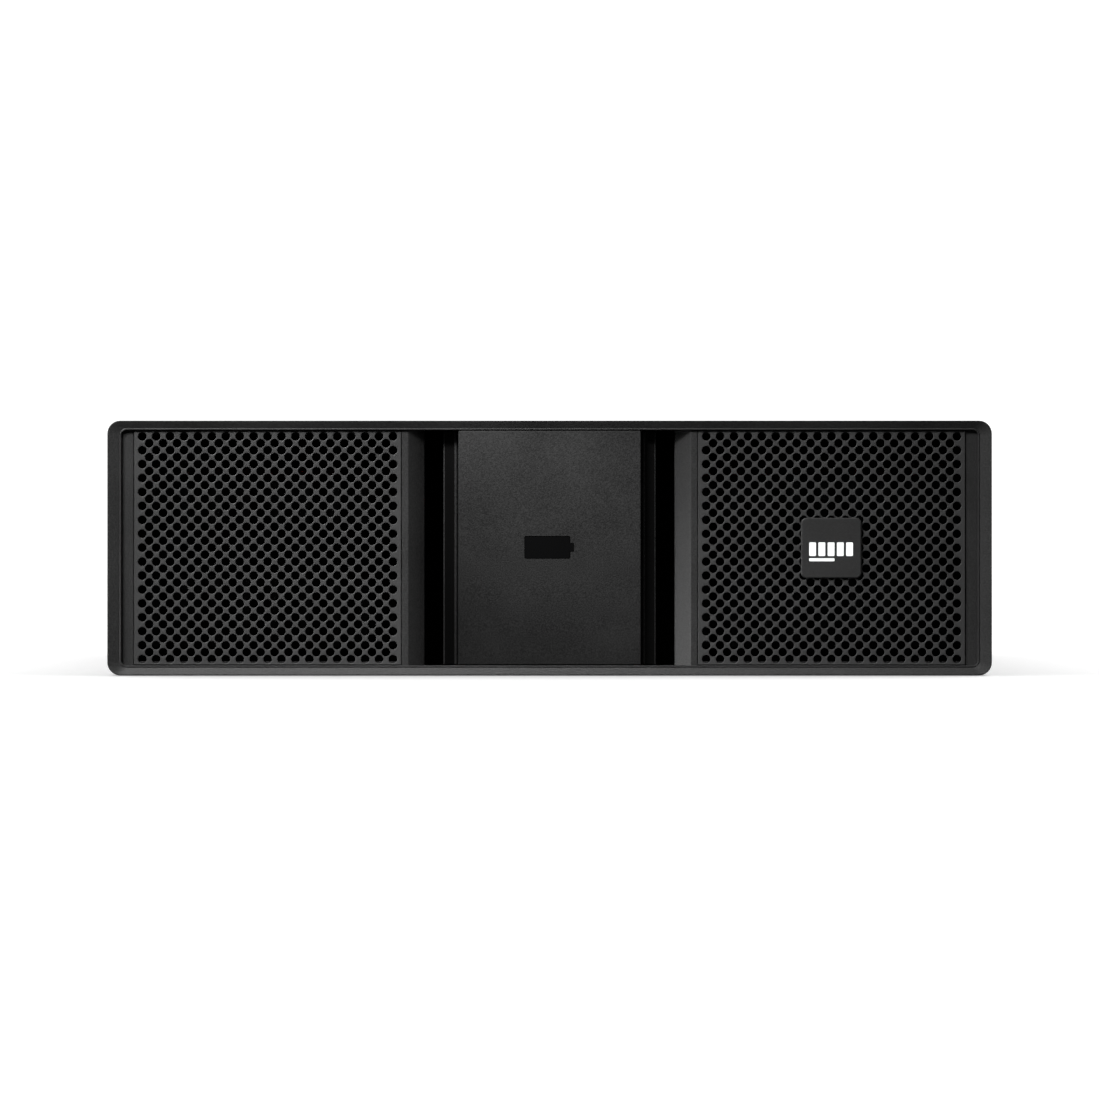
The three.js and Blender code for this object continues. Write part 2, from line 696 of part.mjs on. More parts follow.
// A flat two-core lead from the plug, through the tray's front plate to the fuse block.
function trayLead(side, z) {
  const points = [
    [0, PLUG.front - GAP],
    [0, LEAD.frontY],
    [side * LEAD.x, LEAD.frontY],
    [side * LEAD.x, LEAD.backY],
  ].map(([x, y]) => new THREE.Vector3(x, y, z));
  const [a, b] = [LEAD.tall / 2, LEAD.across / 2];
  const section = outline([
    [-a, -b],
    [a, -b],
    [a, b],
    [-a, b],
  ]);
  return alongPath(section, roundedPath(points, LEAD.bend), 24);
}

// One 12 V block, standing on z = 0, long side along Y, with both terminals at one short end.
function batteryBlock() {
  const { x, y, z, lid, lip } = BLOCK;
  const parts = [
    box(lip - x / 2, x / 2 - lip, lip - y / 2, y / 2 - lip, 0, z - lid + 0.1),
    box(-x / 2, x / 2, -y / 2, y / 2, z - lid, z),
  ];
  for (const side of MIRRORED) {
    const at = side * TERMINAL.x;
    const along = TERMINAL.y.map((value) => value - y / 2);
    parts.push(box(at - TERMINAL.half, at + TERMINAL.half, ...along, z - 0.1, z + TERMINAL.tall));
  }
  return joined(parts);
}

// Where the ten blocks of a tray stand: [x, y, quarter turns about Z].
function blockPlaces(side) {
  const places = [];
  for (let row = 0; row < ROWS.deep; row += 1) {
    for (let column = 0; column < ROWS.columns; column += 1) {
      const x = ROWS.x + BLOCK.x / 2 + column * (BLOCK.x + BLOCK.pitch);
      const y = ROWS.y + BLOCK.y / 2 + row * (BLOCK.y + BLOCK.pitch);
      places.push([side * x, y, 0]);
    }
  }
  places.push([side * (CROSS_BLOCK.x + BLOCK.y / 2), CROSS_BLOCK.y + BLOCK.x / 2, side]);
  return places;
}

// A strap of sheet over the blocks, with a leg down to each side wall of the tray.
function holdDownBar(side) {
  const { y, thick } = HOLD_DOWN;
  const z = BLOCK.floor + BLOCK.z + GAP;
  const low = TRAY.wallTop + GAP;
  const [inside, outside] = TRAY.x;
  return joined([
    box(side * inside, side * outside, ...y, z, z + thick),
    box(side * inside, side * (inside + SHEET), ...y, low, z + 0.1),
    box(side * (outside - SHEET), side * outside, ...y, low, z + 0.1),
  ]);
}

function fuseBlock(side) {
  const { x, back, shoulder, inset, top } = FUSE_BLOCK;
  const front = LEAD.backY + GAP;
  return joined([
    box(side * x[0], side * x[1], front, back, BLOCK.floor, shoulder),
    box(side * (x[0] + inset), side * (x[1] - inset), front, back - inset, shoulder - 0.1, top),
  ]);
}

// ---------------------------------------------------------------- assembly

function frontBezelGroup() {
  const group = new THREE.Group();
  group.add(
    piece("bezel_frame", bezelFrame(), MATERIAL.bezelPlastic),
    piece("left_grille", grille(-1), MATERIAL.grilleSteel),
    piece("right_grille", grille(1), MATERIAL.grilleSteel),
    piece("badge", badge(), MATERIAL.badgePlastic),
  );
  return group;
}

function centreCoverGroup() {
  const group = new THREE.Group();
  group.add(
    piece("centre_cover", centreCover(), MATERIAL.coverPlastic),
    piece("battery_symbol", batterySymbol(), MATERIAL.symbolGloss),
  );
  return group;
}

function chassisGroup() {
  const group = new THREE.Group();
  group.add(
    piece("base_pan", basePan(), MATERIAL.chassisPaint),
    piece("top_cover", topCover(), MATERIAL.chassisPaint),
    piece("front_bulkhead", frontBulkhead(), MATERIAL.chassisPaint),
    piece("rear_panel", rearPanel(), MATERIAL.chassisPaint),
    piece("cable_channel", cableChannel(), MATERIAL.zincSteel),
    piece("insulating_sheet", insulatingSheet(), MATERIAL.insulation),
    piece("string_socket_left", stringSocket(SOCKET.left), MATERIAL.connector),
    piece("string_socket_right", stringSocket(SOCKET.right), MATERIAL.connector),
    piece("string_cable_left", stringCable(CABLE_ROUTES.left), MATERIAL.cableJacket),
    piece("string_cable_right", stringCable(CABLE_ROUTES.right), MATERIAL.cableJacket),
    piece("circuit_breaker", circuitBreaker(), MATERIAL.breakerCase),
    piece("outlet_busbar_positive", outletBusbar(OUTLET.z + BUSBAR.offset), MATERIAL.copper),
    piece("outlet_busbar_negative", outletBusbar(OUTLET.z - BUSBAR.offset), MATERIAL.copper),
    piece("detection_board", detectionBoard(), MATERIAL.board),
    piece("ground_stud", groundStud(), MATERIAL.zincSteel),
  );
  OUTLETS.forEach((x, i) => group.add(piece(`dc_outlet_${i + 1}`, dcOutlet(x), MATERIAL.connector)));
  PORTS.forEach((x, i) =>
    group.add(piece(`detection_port_${i + 1}`, detectionPort(x), MATERIAL.breakerLever)),
  );
  return group;
}

function trayGroup(label, side, plugZ, blockGeometry) {
  const group = new THREE.Group();
  group.add(
    piece(`tray_pan_${label}`, trayPan(side), MATERIAL.chassisPaint),
    piece(`tray_front_${label}`, trayFront(side, plugZ), MATERIAL.chassisPaint),
    piece(`tray_handle_${label}`, trayHandle(side), MATERIAL.chassisPaint),
    piece(`tray_plug_${label}`, trayPlug(plugZ), MATERIAL.connector),
    piece(`tray_lead_${label}`, trayLead(side, plugZ), MATERIAL.cableJacket),
    piece(`hold_down_bar_${label}`, holdDownBar(side), MATERIAL.zincSteel),
    piece(`fuse_block_${label}`, fuseBlock(side), MATERIAL.fuseBase),
  );
  blockPlaces(side).forEach(([x, y, turns], i) => {
    const block = new THREE.Mesh(blockGeometry, MATERIAL.blockCase);
    block.name = `battery_block_${label}_${i + 1}`;
    block.position.set(x, y, BLOCK.floor);
    block.rotation.z = (turns * Math.PI) / 2;
    group.add(block);
  });
  return group;
}

const blockGeometry = geometryOf(batteryBlock());
const toggleGroup = new THREE.Group();
toggleGroup.add(piece("breaker_toggle", breakerToggle(), MATERIAL.breakerLever));

const part = new THREE.Group();
part.position.y = -DEPTH / 2;
part.add(
  frontBezelGroup(),
  centreCoverGroup(),
  chassisGroup(),
  toggleGroup,
  trayGroup("left", -1, SOCKET.left, blockGeometry),
  trayGroup("right", 1, SOCKET.right, blockGeometry),
);

export default part;
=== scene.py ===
"""Looks of the rack battery module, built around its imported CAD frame.

Lengths in the pieces' functions are millimetres: X from the middle of the front, Y from the rim's
front face towards the back, Z from the floor. place() turns them into metres in the frame. The
stage, the lights and the camera are in the frame's own metres.
"""

import json
import math
from types import SimpleNamespace

import bmesh
import bpy
from mathutils import Matrix, Vector


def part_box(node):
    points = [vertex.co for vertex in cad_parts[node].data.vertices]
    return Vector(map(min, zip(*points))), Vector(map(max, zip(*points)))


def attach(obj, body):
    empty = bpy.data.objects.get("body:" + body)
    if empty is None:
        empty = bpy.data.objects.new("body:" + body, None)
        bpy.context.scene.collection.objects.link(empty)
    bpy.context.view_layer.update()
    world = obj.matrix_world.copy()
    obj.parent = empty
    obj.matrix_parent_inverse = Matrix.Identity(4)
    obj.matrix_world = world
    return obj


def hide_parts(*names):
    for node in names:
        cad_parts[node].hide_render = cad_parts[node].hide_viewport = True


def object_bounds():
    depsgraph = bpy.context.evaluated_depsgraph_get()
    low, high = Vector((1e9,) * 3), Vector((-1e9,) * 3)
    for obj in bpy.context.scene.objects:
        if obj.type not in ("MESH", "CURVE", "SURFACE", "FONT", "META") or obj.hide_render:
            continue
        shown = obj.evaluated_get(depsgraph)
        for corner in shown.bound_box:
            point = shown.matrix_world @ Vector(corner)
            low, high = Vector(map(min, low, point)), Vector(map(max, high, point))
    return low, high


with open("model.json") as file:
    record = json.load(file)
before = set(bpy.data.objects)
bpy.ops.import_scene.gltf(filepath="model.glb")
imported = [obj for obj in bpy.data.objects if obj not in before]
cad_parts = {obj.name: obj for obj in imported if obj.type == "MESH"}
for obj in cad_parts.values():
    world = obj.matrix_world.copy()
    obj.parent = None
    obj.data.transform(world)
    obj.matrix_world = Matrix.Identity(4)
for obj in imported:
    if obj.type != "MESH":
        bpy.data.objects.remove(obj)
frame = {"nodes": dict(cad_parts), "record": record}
CAD_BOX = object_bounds()

MM = 0.001
FRONT = CAD_BOX[0].y
SIDES = (-1, 1)
TRAY_SIDES = (("left", -1), ("right", 1))


def place(x, y, z):
    """A point given in millimetres from the middle, the front and the floor, in the frame."""
    return Vector((x * MM, FRONT + y * MM, z * MM))


def size_of(node):
    """A CAD node's box and its middle, in the millimetres that place() takes."""
    box = {}
    for axis, pair, origin in zip("xyz", zip(*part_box(node)), (0, FRONT, 0)):
        low, high = ((at - origin) / MM for at in pair)
        box |= {f"{axis}0": low, f"{axis}1": high, axis: (low + high) / 2}
    return SimpleNamespace(**box)


BEZEL = size_of("bezel_frame")
HALF = BEZEL.x1
GRILLE = {-1: size_of("left_grille"), 1: size_of("right_grille")}
COVER = size_of("centre_cover")
FACE = SimpleNamespace(x1=45.4, y=COVER.y0)  # the flat of the centre cover


# ---------------------------------------------------------------- materials


def node(tree, kind, inputs, output=0, **settings):
    """One output of a new node. Each input is a value to set or an output to link."""
    made = tree.nodes.new(f"ShaderNode{kind}")
    for key, value in settings.items():
        setattr(made, key, value)
    for key, value in inputs.items():
        if isinstance(value, bpy.types.NodeSocket):
            tree.links.new(value, made.inputs[key])
        else:
            made.inputs[key].default_value = value
    return made.outputs[output]


def noise(tree, coordinates, scale, detail, stretch=None):
    if stretch:
        coordinates = node(tree, "Mapping", {"Vector": coordinates, "Scale": stretch})
    return node(tree, "TexNoise", {"Vector": coordinates, "Scale": scale, "Detail": detail})


def ramp(tree, value, low, high, dark, light):
    """A colour that runs from dark to light as value goes from low to high."""
    made = tree.nodes.new("ShaderNodeValToRGB")
    for element, at, colour in zip(made.color_ramp.elements, (low, high), (dark, light)):
        element.position = at
        element.color = (*colour, 1)
    tree.links.new(value, made.inputs["Fac"])
    return made.outputs["Color"]


DRIFT_SCALE = 30.0  # of the slow drift, in waves per metre
DRIFT_SHARE = 0.2  # how much of the colour's unevenness the slow drift makes


def surface(name, colour, rough, grain, relief, mottle, metallic=0.0, specular=0.5, brush=None):
    """A material with a fine grain in its relief and colour, and slow drifts in gloss and tone.

    grain and relief are the grain's width and depth in millimetres, rough is the pair that the
    roughness drifts between, and brush stretches the grain along one axis.
    """
    made = bpy.data.materials.new(name)
    made.use_nodes = True
    tree = made.node_tree
    shader = tree.nodes["Principled BSDF"]
    coordinates = node(tree, "TexCoord", {}, "Object")
    fine = noise(tree, coordinates, 1 / (grain * MM), 4.0, brush)
    slow = noise(tree, coordinates, DRIFT_SCALE, 5.0)
    bump = node(tree, "Bump", {"Distance": relief * MM, "Height": fine})
    tree.links.new(bump, shader.inputs["Normal"])
    grains = node(tree, "Math", {0: fine, 1: 1 - DRIFT_SHARE}, operation="MULTIPLY")
    tone = node(tree, "Math", {0: slow, 1: DRIFT_SHARE, 2: grains}, operation="MULTIPLY_ADD")
    dark = tuple(c * (1 - mottle) for c in colour)
    light = tuple(min(1.0, c * (1 + mottle)) for c in colour)
    tree.links.new(ramp(tree, tone, 0.35, 0.65, dark, light), shader.inputs["Base Color"])
    usual = {"Value": slow, "From Min": 0.3, "From Max": 0.7, "To Min": rough[0], "To Max": rough[1]}
    tree.links.new(node(tree, "MapRange", usual), shader.inputs["Roughness"])
    shader.inputs["Metallic"].default_value = metallic
    shader.inputs["Specular IOR Level"].default_value = specular
    return made


# colour, roughness from and to, grain and relief in millimetres, mottle, then metallic, specular and brush
LOOKS = {
    "bezel_plastic": ((0.012, 0.012, 0.012), (0.47, 0.53), 0.6, 0.09, 0.55, 0, 0.25),
    "grille_steel": ((0.02, 0.02, 0.0201), (0.48, 0.56), 0.5, 0.03, 0.2, 0, 0.32),
    "cover_plastic": ((0.012, 0.012, 0.012), (0.46, 0.52), 0.62, 0.1, 0.6, 0, 0.25),
    "badge_plastic": ((0.015, 0.015, 0.0151), (0.44, 0.5), 0.5, 0.03, 0.2, 0, 0.25),
    "symbol_gloss": ((0.002, 0.002, 0.0021), (0.3, 0.36), 0.5, 0.004, 0.1, 0, 0.08),
    # the band beside the cover's face: smoother plastic, and a darker colour that is painted shade of its
    # recess
    "step_shade_gloss": ((0.002, 0.002, 0.002), (0.26, 0.34), 0.5, 0.01, 0.1, 0, 0.1),
    "badge_ink": ((0.86, 0.87, 0.88), (0.45, 0.5), 0.25, 0.004, 0.05),
    "chassis_paint": ((0.012, 0.012, 0.0126), (0.5, 0.54), 0.8, 0.09, 0.25, 0, 0.4),
    # near black, far darker than the chassis's paint: painted shade for what lies behind the grilles
    "shade_black_paint": ((0.0015, 0.0015, 0.0015), (0.62, 0.68), 0.8, 0.09, 0.2, 0, 0.06),
    "zinc_steel": ((0.33, 0.345, 0.36), (0.38, 0.46), 0.8, 0.006, 0.12, 1, 0.5, (1, 0.06, 1)),
    "screw_steel": ((0.5, 0.51, 0.53), (0.28, 0.38), 0.3, 0.004, 0.08, 1),
    "black_screw": ((0.02, 0.02, 0.021), (0.35, 0.45), 0.3, 0.004, 0.1, 0.6),
    "block_case": ((0.035, 0.037, 0.042), (0.45, 0.55), 0.5, 0.03, 0.12),
    "block_lid": ((0.028, 0.030, 0.034), (0.42, 0.5), 0.45, 0.02, 0.1),
    "connector_housing": ((0.16, 0.165, 0.18), (0.44, 0.54), 0.4, 0.015, 0.08),
    "breaker_case": ((0.05, 0.052, 0.058), (0.4, 0.48), 0.35, 0.012, 0.08),
    "black_plastic": ((0.010, 0.010, 0.011), (0.35, 0.42), 0.3, 0.008, 0.1),
    "cable_jacket": ((0.010, 0.010, 0.011), (0.42, 0.52), 0.6, 0.01, 0.1),
    "cable_red": ((0.42, 0.015, 0.012), (0.4, 0.5), 0.6, 0.01, 0.1),
    "copper_bar": ((0.72, 0.36, 0.2), (0.26, 0.4), 0.6, 0.004, 0.1, 1, 0.5, (0.08, 1, 1)),
    "contact_gold": ((0.82, 0.6, 0.24), (0.2, 0.3), 0.3, 0.002, 0.06, 1),
    "board_green": ((0.02, 0.14, 0.05), (0.3, 0.4), 1.2, 0.02, 0.3),
    "insulation_film": ((0.62, 0.56, 0.38), (0.3, 0.42), 2.0, 0.01, 0.08),
    "fuse_base": ((0.12, 0.055, 0.022), (0.5, 0.6), 0.5, 0.02, 0.2),
    "ceramic": ((0.72, 0.70, 0.64), (0.4, 0.5), 0.5, 0.01, 0.05),
    "label_paper": ((0.55, 0.56, 0.56), (0.5, 0.6), 0.4, 0.004, 0.05),
}
MATERIAL = {name: surface(name, *look) for name, look in LOOKS.items()}


# ---------------------------------------------------------------- mesh helpers


def arc(centre, radius, start, end, steps):
    """Points on an arc about centre, angles in degrees, both ends included."""
    angles = [math.radians(start + (end - start) * k / steps) for k in range(steps + 1)]
    return [(centre[0] + radius * math.cos(a), centre[1] + radius * math.sin(a)) for a in angles]


def quarter_round(radius, steps):
    """Pairs of how far each stop of a rounded edge is inside its two faces."""
    angles = [math.radians(90 * k / steps) for k in range(steps + 1)]
    return [(radius * (1 - math.cos(a)), radius * (1 - math.sin(a))) for a in angles]


def circle(sides):
    """Points round the unit circle."""
    angles = [2 * math.pi * k / sides for k in range(sides)]
    return [(math.cos(a), math.sin(a)) for a in angles]


def mirrored(half, radii):
    """A filleted outline from its half on one side of X = 0."""
    return filleted([*half, *((-x, y) for x, y in reversed(half))], [*radii, *reversed(radii)])


def rounded_loop(x0, x1, z0, z1, radius, steps=6):
    """A rectangle with rounded corners, anticlockwise from its lower right corner."""
    left, right, low, high = x0 + radius, x1 - radius, z0 + radius, z1 - radius
    return [
        *arc((right, low), radius, -90, 0, steps),
        *arc((right, high), radius, 0, 90, steps),
        *arc((left, high), radius, 90, 180, steps),
        *arc((left, low), radius, 180, 270, steps),
    ]


def filleted(points, radii, steps=4):
    """An outline with each corner rounded by its own radius. A radius of 0 keeps it sharp."""
    made = []
    for i, (corner, radius) in enumerate(zip(points, radii)):
        here = Vector(corner)
        if not radius:
            made.append(tuple(here))
            continue
        before = (Vector(points[i - 1]) - here).normalized()
        after = (Vector(points[(i + 1) % len(points)]) - here).normalized()
        half = before.angle(after) / 2
        reach = radius / math.tan(half)
        middle = here + (before + after).normalized() * (radius / math.sin(half))
        first = here + before * reach - middle
        turn = first.angle_signed(here + after * reach - middle)
        for k in range(steps + 1):
            spun = Matrix.Rotation(-turn * k / steps, 2) @ first
            made.append(tuple(middle + spun))
    return made


def skin(bm, layers, closed=False):
    """Faces between loops of the same length, and either a face over each end or a way back."""
    rows = [[bm.verts.new(point) for point in layer] for layer in layers]
    pairs = list(zip(rows, rows[1:]))
    if closed:
        pairs.append((rows[-1], rows[0]))
    for first, second in pairs:
        for i in range(len(first)):
            j = (i + 1) % len(first)
            bm.faces.new((first[i], first[j], second[j], second[i]))
    if not closed:
        bm.faces.new(rows[0])
        bm.faces.new(rows[-1])


def rings(bm, stack, closed=False):
    """Loops in X and Z, each at its own Y."""
    skin(bm, [[place(x, y, z) for x, z in loop] for loop, y in stack], closed)


# (across, up, along an axis) put in X, Y, Z order
ALONG = {
    "X": lambda a, b, h: (h, a, b),
    "Y": lambda a, b, h: (a, h, b),
    "Z": lambda a, b, h: (a, b, h),
}


def prism(bm, points, axis, start, end, edge=0.0):
    """An outline drawn out along an axis, its end edges chamfered by moving them inwards.

    The outline is in the other two axes, in X, Y, Z order.
    """
    order = ALONG[axis]
    stops = [(start, 0.0), (end, 0.0)]
    if edge:
        stops = [(start, edge), (start + edge, 0.0), (end - edge, 0.0), (end, edge)]
    skin(bm, [[place(*order(a, b, at)) for a, b in shrunk(points, by)] for at, by in stops])


def shrunk(points, by):
    """The outline moved inwards by a small distance, corner for corner."""
    if not by:
        return points
    area = sum(a[0] * b[1] - b[0] * a[1] for a, b in zip(points, [*points[1:], points[0]]))
    sign = 1 if area > 0 else -1
    made = []
    for i, corner in enumerate(points):
        here = Vector(corner)
        into = (here - Vector(points[i - 1])).normalized()
        out = (Vector(points[(i + 1) % len(points)]) - here).normalized()
        normals = [sign * Vector((-d.y, d.x)) for d in (into, out)]
        middle = (normals[0] + normals[1]).normalized()
        made.append(tuple(here + middle * (by / max(0.35, middle.dot(normals[0])))))
    return made


def block(bm, x0, x1, y0, y1, z0, z1, edge=0.3):
    """A box with chamfered edges all round. The X pair may come in either order."""
    x0, x1 = sorted((x0, x1))
    stops = [(y0, edge), (y0 + edge, 0.0), (y1 - edge, 0.0), (y1, edge)]
    rings(bm, [(rounded_loop(x0 + i, x1 - i, z0 + i, z1 - i, edge, 2), y) for y, i in stops])


def upright(bm, x, y, half_x, half_y, z0, z1, edge):
    """A block given by its middle in X and Y and half its width and depth."""
    block(bm, x - half_x, x + half_x, y - half_y, y + half_y, z0, z1, edge)


def beside(centre, offset):
    """A point given by its offset from a centre, both in millimetres, in the frame."""
    return place(*(c + o for c, o in zip(centre, offset)))


def turned(bm, profile, centre, axis, sides=32, hollow=False):
    """A profile of (radius, distance along the axis), spun about the axis through centre.

    A hollow one closes its profile on itself, which leaves a hole along the axis.
    """
    order = ALONG[axis]
    rows = [[order(r * c, r * s, height) for c, s in circle(sides)] for r, height in profile]
    skin(bm, [[beside(centre, offset) for offset in row] for row in rows], closed=hollow)


def tube(bm, points, radius, sides=14):
    """A round section that follows points given in millimetres, with closed ends."""
    path = [Vector(p) for p in points]
    tangents = []
    for i in range(len(path)):
        ahead, behind = path[min(i + 1, len(path) - 1)], path[max(i - 1, 0)]
        tangents.append((ahead - behind).normalized())
    start = Vector((0, 0, 1)) if abs(tangents[0].z) < 0.9 else Vector((1, 0, 0))
    normal = tangents[0].cross(start).normalized()
    layers = []
    for i, (point, tangent) in enumerate(zip(path, tangents)):
        if i:
            normal = (tangents[i - 1].rotation_difference(tangent) @ normal).normalized()
        across = tangent.cross(normal)
        layers.append([place(*(point + radius * (c * normal + s * across))) for c, s in circle(sides)])
    skin(bm, layers)


def smooth_path(points, steps):
    """A Catmull-Rom curve through the points, as a closer list of points."""
    path = [Vector(p) for p in points]
    ends = [path[0] * 2 - path[1], *path, path[-1] * 2 - path[-2]]
    made = []
    for i in range(1, len(ends) - 2):
        a, b, c, d = ends[i - 1 : i + 3]
        for k in range(steps):
            t = k / steps
            straight = 2 * b + (c - a) * t
            bend = (2 * a - 5 * b + 4 * c - d) * t**2 + (3 * b - a - 3 * c + d) * t**3
            made.append(0.5 * (straight + bend))
    return [*made, path[-1]]


def round_path(points, radius, steps):
    """Straight runs with rounded corners, as a list of points."""
    made = [Vector(points[0])]
    for i in range(1, len(points) - 1):
        corner = Vector(points[i])
        before = (Vector(points[i - 1]) - corner).normalized() * radius
        after = (Vector(points[i + 1]) - corner).normalized() * radius
        for k in range(steps + 1):
            t = k / steps
            made.append(corner + before * (1 - t) ** 2 + after * t**2)
    made.append(Vector(points[-1]))
    return made


def cross_outline(length, width, sides):
    """A cross of two bars, as points in order round its middle."""
    points = []
    for c, s in circle(sides):
        along, across = max(abs(c), 1e-6), max(abs(s), 1e-6)
        reach = max(min(length / along, width / across), min(width / along, length / across))
        points.append((reach * c, reach * s))
    return points


def screw_heads(bm, spots, axis, radius, height, sides=32):
    """Pan heads with a cross recess. Each stands on its spot and faces along a signed axis."""
    sign = 1 if axis[0] == "+" else -1
    order = ALONG[axis[1]]
    shares = [(1, 0), (1, 0.35), (0.93, 0.7), (0.8, 0.9), (0.66, 1)]
    profile = [(radius * r, height * h) for r, h in shares]
    layers = [([(r * c, r * s) for c, s in circle(sides)], h) for r, h in profile]
    layers.append((cross_outline(0.52 * radius, 0.14 * radius, sides), height))
    layers.append((cross_outline(0.36 * radius, 0.1 * radius, sides), 0.3 * height))
    for spot in spots:
        skin(bm, [[beside(spot, order(a, b, sign * h)) for a, b in loop] for loop, h in layers])


def mesh_of(bm, name):
    bmesh.ops.recalc_face_normals(bm, faces=bm.faces)
    mesh = bpy.data.meshes.new(name)
    bm.to_mesh(mesh)
    bm.free()
    return mesh


def added(name, data):
    """A new object in the scene."""
    obj = bpy.data.objects.new(name, data)
    bpy.context.scene.collection.objects.link(obj)
    return obj


def modify(obj, kind, **settings):
    made = obj.modifiers.new(kind.lower(), kind)
    for key, value in settings.items():
        setattr(made, key, value)


def combined(base, operation, others):
    """A closed shell with the others joined on (UNION) or cut away (DIFFERENCE)."""
    work = [added("work", mesh_of(bm, "work")) for bm in (base, *others)]
    for tool in work[1:]:
        modify(work[0], "BOOLEAN", object=tool, operation=operation, solver="EXACT")
    bpy.context.view_layer.update()
    graph = bpy.context.evaluated_depsgraph_get()
    result = bpy.data.meshes.new_from_object(work[0].evaluated_get(graph))
    made = bmesh.new()
    made.from_mesh(result)
    bmesh.ops.dissolve_limit(made, angle_limit=math.radians(0.2), verts=made.verts, edges=made.edges)
    for obj in work:
        mesh = obj.data
        bpy.data.objects.remove(obj)
        bpy.data.meshes.remove(mesh)
    bpy.data.meshes.remove(result)
    return made


def shell(make, *args):
    """A new bmesh holding what a maker such as block or prism draws."""
    bm = bmesh.new()
    make(bm, *args)
    return bm


def piece(name, bm, body, material, replaces=(), trim=None):
    """A finished mesh that rides on a body, with its material.

    trim is a second material and a test for where it goes, given X and Y of a face's centre.
    """
    mesh = mesh_of(bm, name)
    mesh.shade_smooth()
    mesh.set_sharp_from_angle(angle=math.radians(38))
    mesh.materials.append(MATERIAL[material])
    if trim:
        second, chosen = trim
        mesh.materials.append(MATERIAL[second])
        for face in mesh.polygons:
            at = face.center / MM
            face.material_index = int(chosen(at.x, at.y - FRONT / MM))
    obj = added(name, mesh)
    modify(obj, "WEIGHTED_NORMAL", keep_sharp=True)
    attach(obj, body)
    if replaces:
        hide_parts(*replaces)
    return obj


# ---------------------------------------------------------------- front bezel

RIM = SimpleNamespace(x=213.0, z0=5.2, z1=122.2, corner=2.5, outer=6.5, back=6.2)


def rim_ring(bm):
    """The picture-frame rim and the four walls behind it, as one closed ring.

    The rim's face slopes inwards like a funnel and ends in a narrow bead round the recess.
    """
    fillet, wall, deep = 0.5, 2.6, 40
    bead = [(1.3, 1.15), (1.1, 1.32), (0.9, 1.12), (0.7, 0.98), (0.45, 0.96), (0.2, 1.06), (0.05, 1.35)]

    def outer(inset, y):
        radius = RIM.outer - inset
        loop = rounded_loop(inset - HALF, HALF - inset, BEZEL.z0 + inset, BEZEL.z1 - inset, radius, 8)
        return loop, y

    def inner(out, y):
        radius = RIM.corner + out
        loop = rounded_loop(-RIM.x - out, RIM.x + out, RIM.z0 - out, RIM.z1 + out, radius, 8)
        return loop, y

    stack = [outer(0, deep), *(outer(inset, y) for inset, y in quarter_round(fillet, 6))]
    stack += [inner(out, y) for out, y in bead]
    stack += [inner(0, RIM.back), outer(wall, RIM.back), outer(wall, deep)]
    rings(bm, stack, closed=True)


def grip_bar(bm, side):
    """The sloped bar beside a finger slot."""
    points = [(73.55, 2.6), (73.55, 6.2), (69.2, 6.2), (64.3, 10.4)]
    points += [(64.3, 16), (62.3, 16), (62.3, 9.5), (70.2, 2.6)]
    outline = filleted(points, [0.15, 0, 1.5, 1.5, 0.5, 0.5, 1.2, 1.0])
    if side < 0:
        outline = [(-x, y) for x, y in reversed(outline)]
    prism(bm, outline, "Z", BEZEL.z0 + 2.5, BEZEL.z1 - 2.5)


def bezel_frame():
    """Rim, side strips, ledges that the grilles rest on, and grip bars."""
    strip_y, ledge_y = 3.5, 4.4
    strip_x, window_x, slot_x = GRILLE[1].x1 + 0.3, GRILLE[1].x1 - 1.5, 75.4
    low, high = RIM.z0 - 0.4, RIM.z1 + 0.4
    bars = [
        (strip_x, RIM.x + 0.5, strip_y, low, high, 0.25),
        (window_x, strip_x + 0.4, ledge_y, low, high, 0.1),
        (73.5, slot_x, ledge_y, low, high, 0.1),
        (slot_x - 0.2, window_x + 0.2, ledge_y, low, RIM.z0 + 1.8, 0.1),
        (slot_x - 0.2, window_x + 0.2, ledge_y, RIM.z1 - 1.8, high, 0.1),
    ]
    parts = []
    for side in SIDES:
        for x0, x1, front, z0, z1, edge in bars:
            parts.append(shell(block, side * x0, side * x1, front, RIM.back, z0, z1, edge))
        parts.append(shell(grip_bar, side))
    return combined(shell(rim_ring), "UNION", parts)


def bezel_fittings():
    """Rails that take the cover's prongs, and the clips that hold the bezel on the chassis."""
    bm = bmesh.new()
    low, high = BEZEL.z0 + 2.7, BEZEL.z1 - 2.7
    reach, depth = 42, (10, 15)
    for z0, pocket0, pocket1, z1 in ((low, 5.4, 8.2, 10.4), (117, 119.2, 122, high)):
        block(bm, -reach, reach, *depth, z0, pocket0, 0.1)
        block(bm, -reach, reach, *depth, pocket1, z1, 0.1)
        for x0, x1 in ((-reach, -38), (-28, 28), (38, reach)):
            block(bm, x0, x1, *depth, pocket0 - 0.1, pocket1 + 0.1, 0.05)
    for side in SIDES:
        for z in (25, 90):
            block(bm, side * 214.4, side * 216.4, 30, 54, z, z + 12, 0.4)
            block(bm, side * 214.4, side * 217.5, 28, 38, z, z + 12, 0.4)
            for k in range(3):
                block(bm, side * 216.2, side * 217.5, 12, 28, z + 1 + 4.2 * k, z + 2.6 + 4.2 * k, 0.2)
    return bm


class SharedFaces:
    """Faces in a bmesh that share each corner with every other face that meets it there."""

    def __init__(self, bm):
        self.bm = bm
        self.verts = {}

    def add(self, points):
        """A face through points given in millimetres, unless they leave it fewer than three corners."""
        corners = {}
        for point in points:
            key = tuple(round(at, 3) for at in point)
            if key not in self.verts:
                self.verts[key] = self.bm.verts.new(place(*point))
            corners[self.verts[key]] = True
        if len(corners) > 2:
            self.bm.faces.new(corners)

    def open_edges(self):
        """The ends of each edge that has a face on one side alone."""
        places = {vert: key for key, vert in self.verts.items()}
        return [[places[vert] for vert in edge.verts] for edge in self.bm.edges if edge.is_boundary]


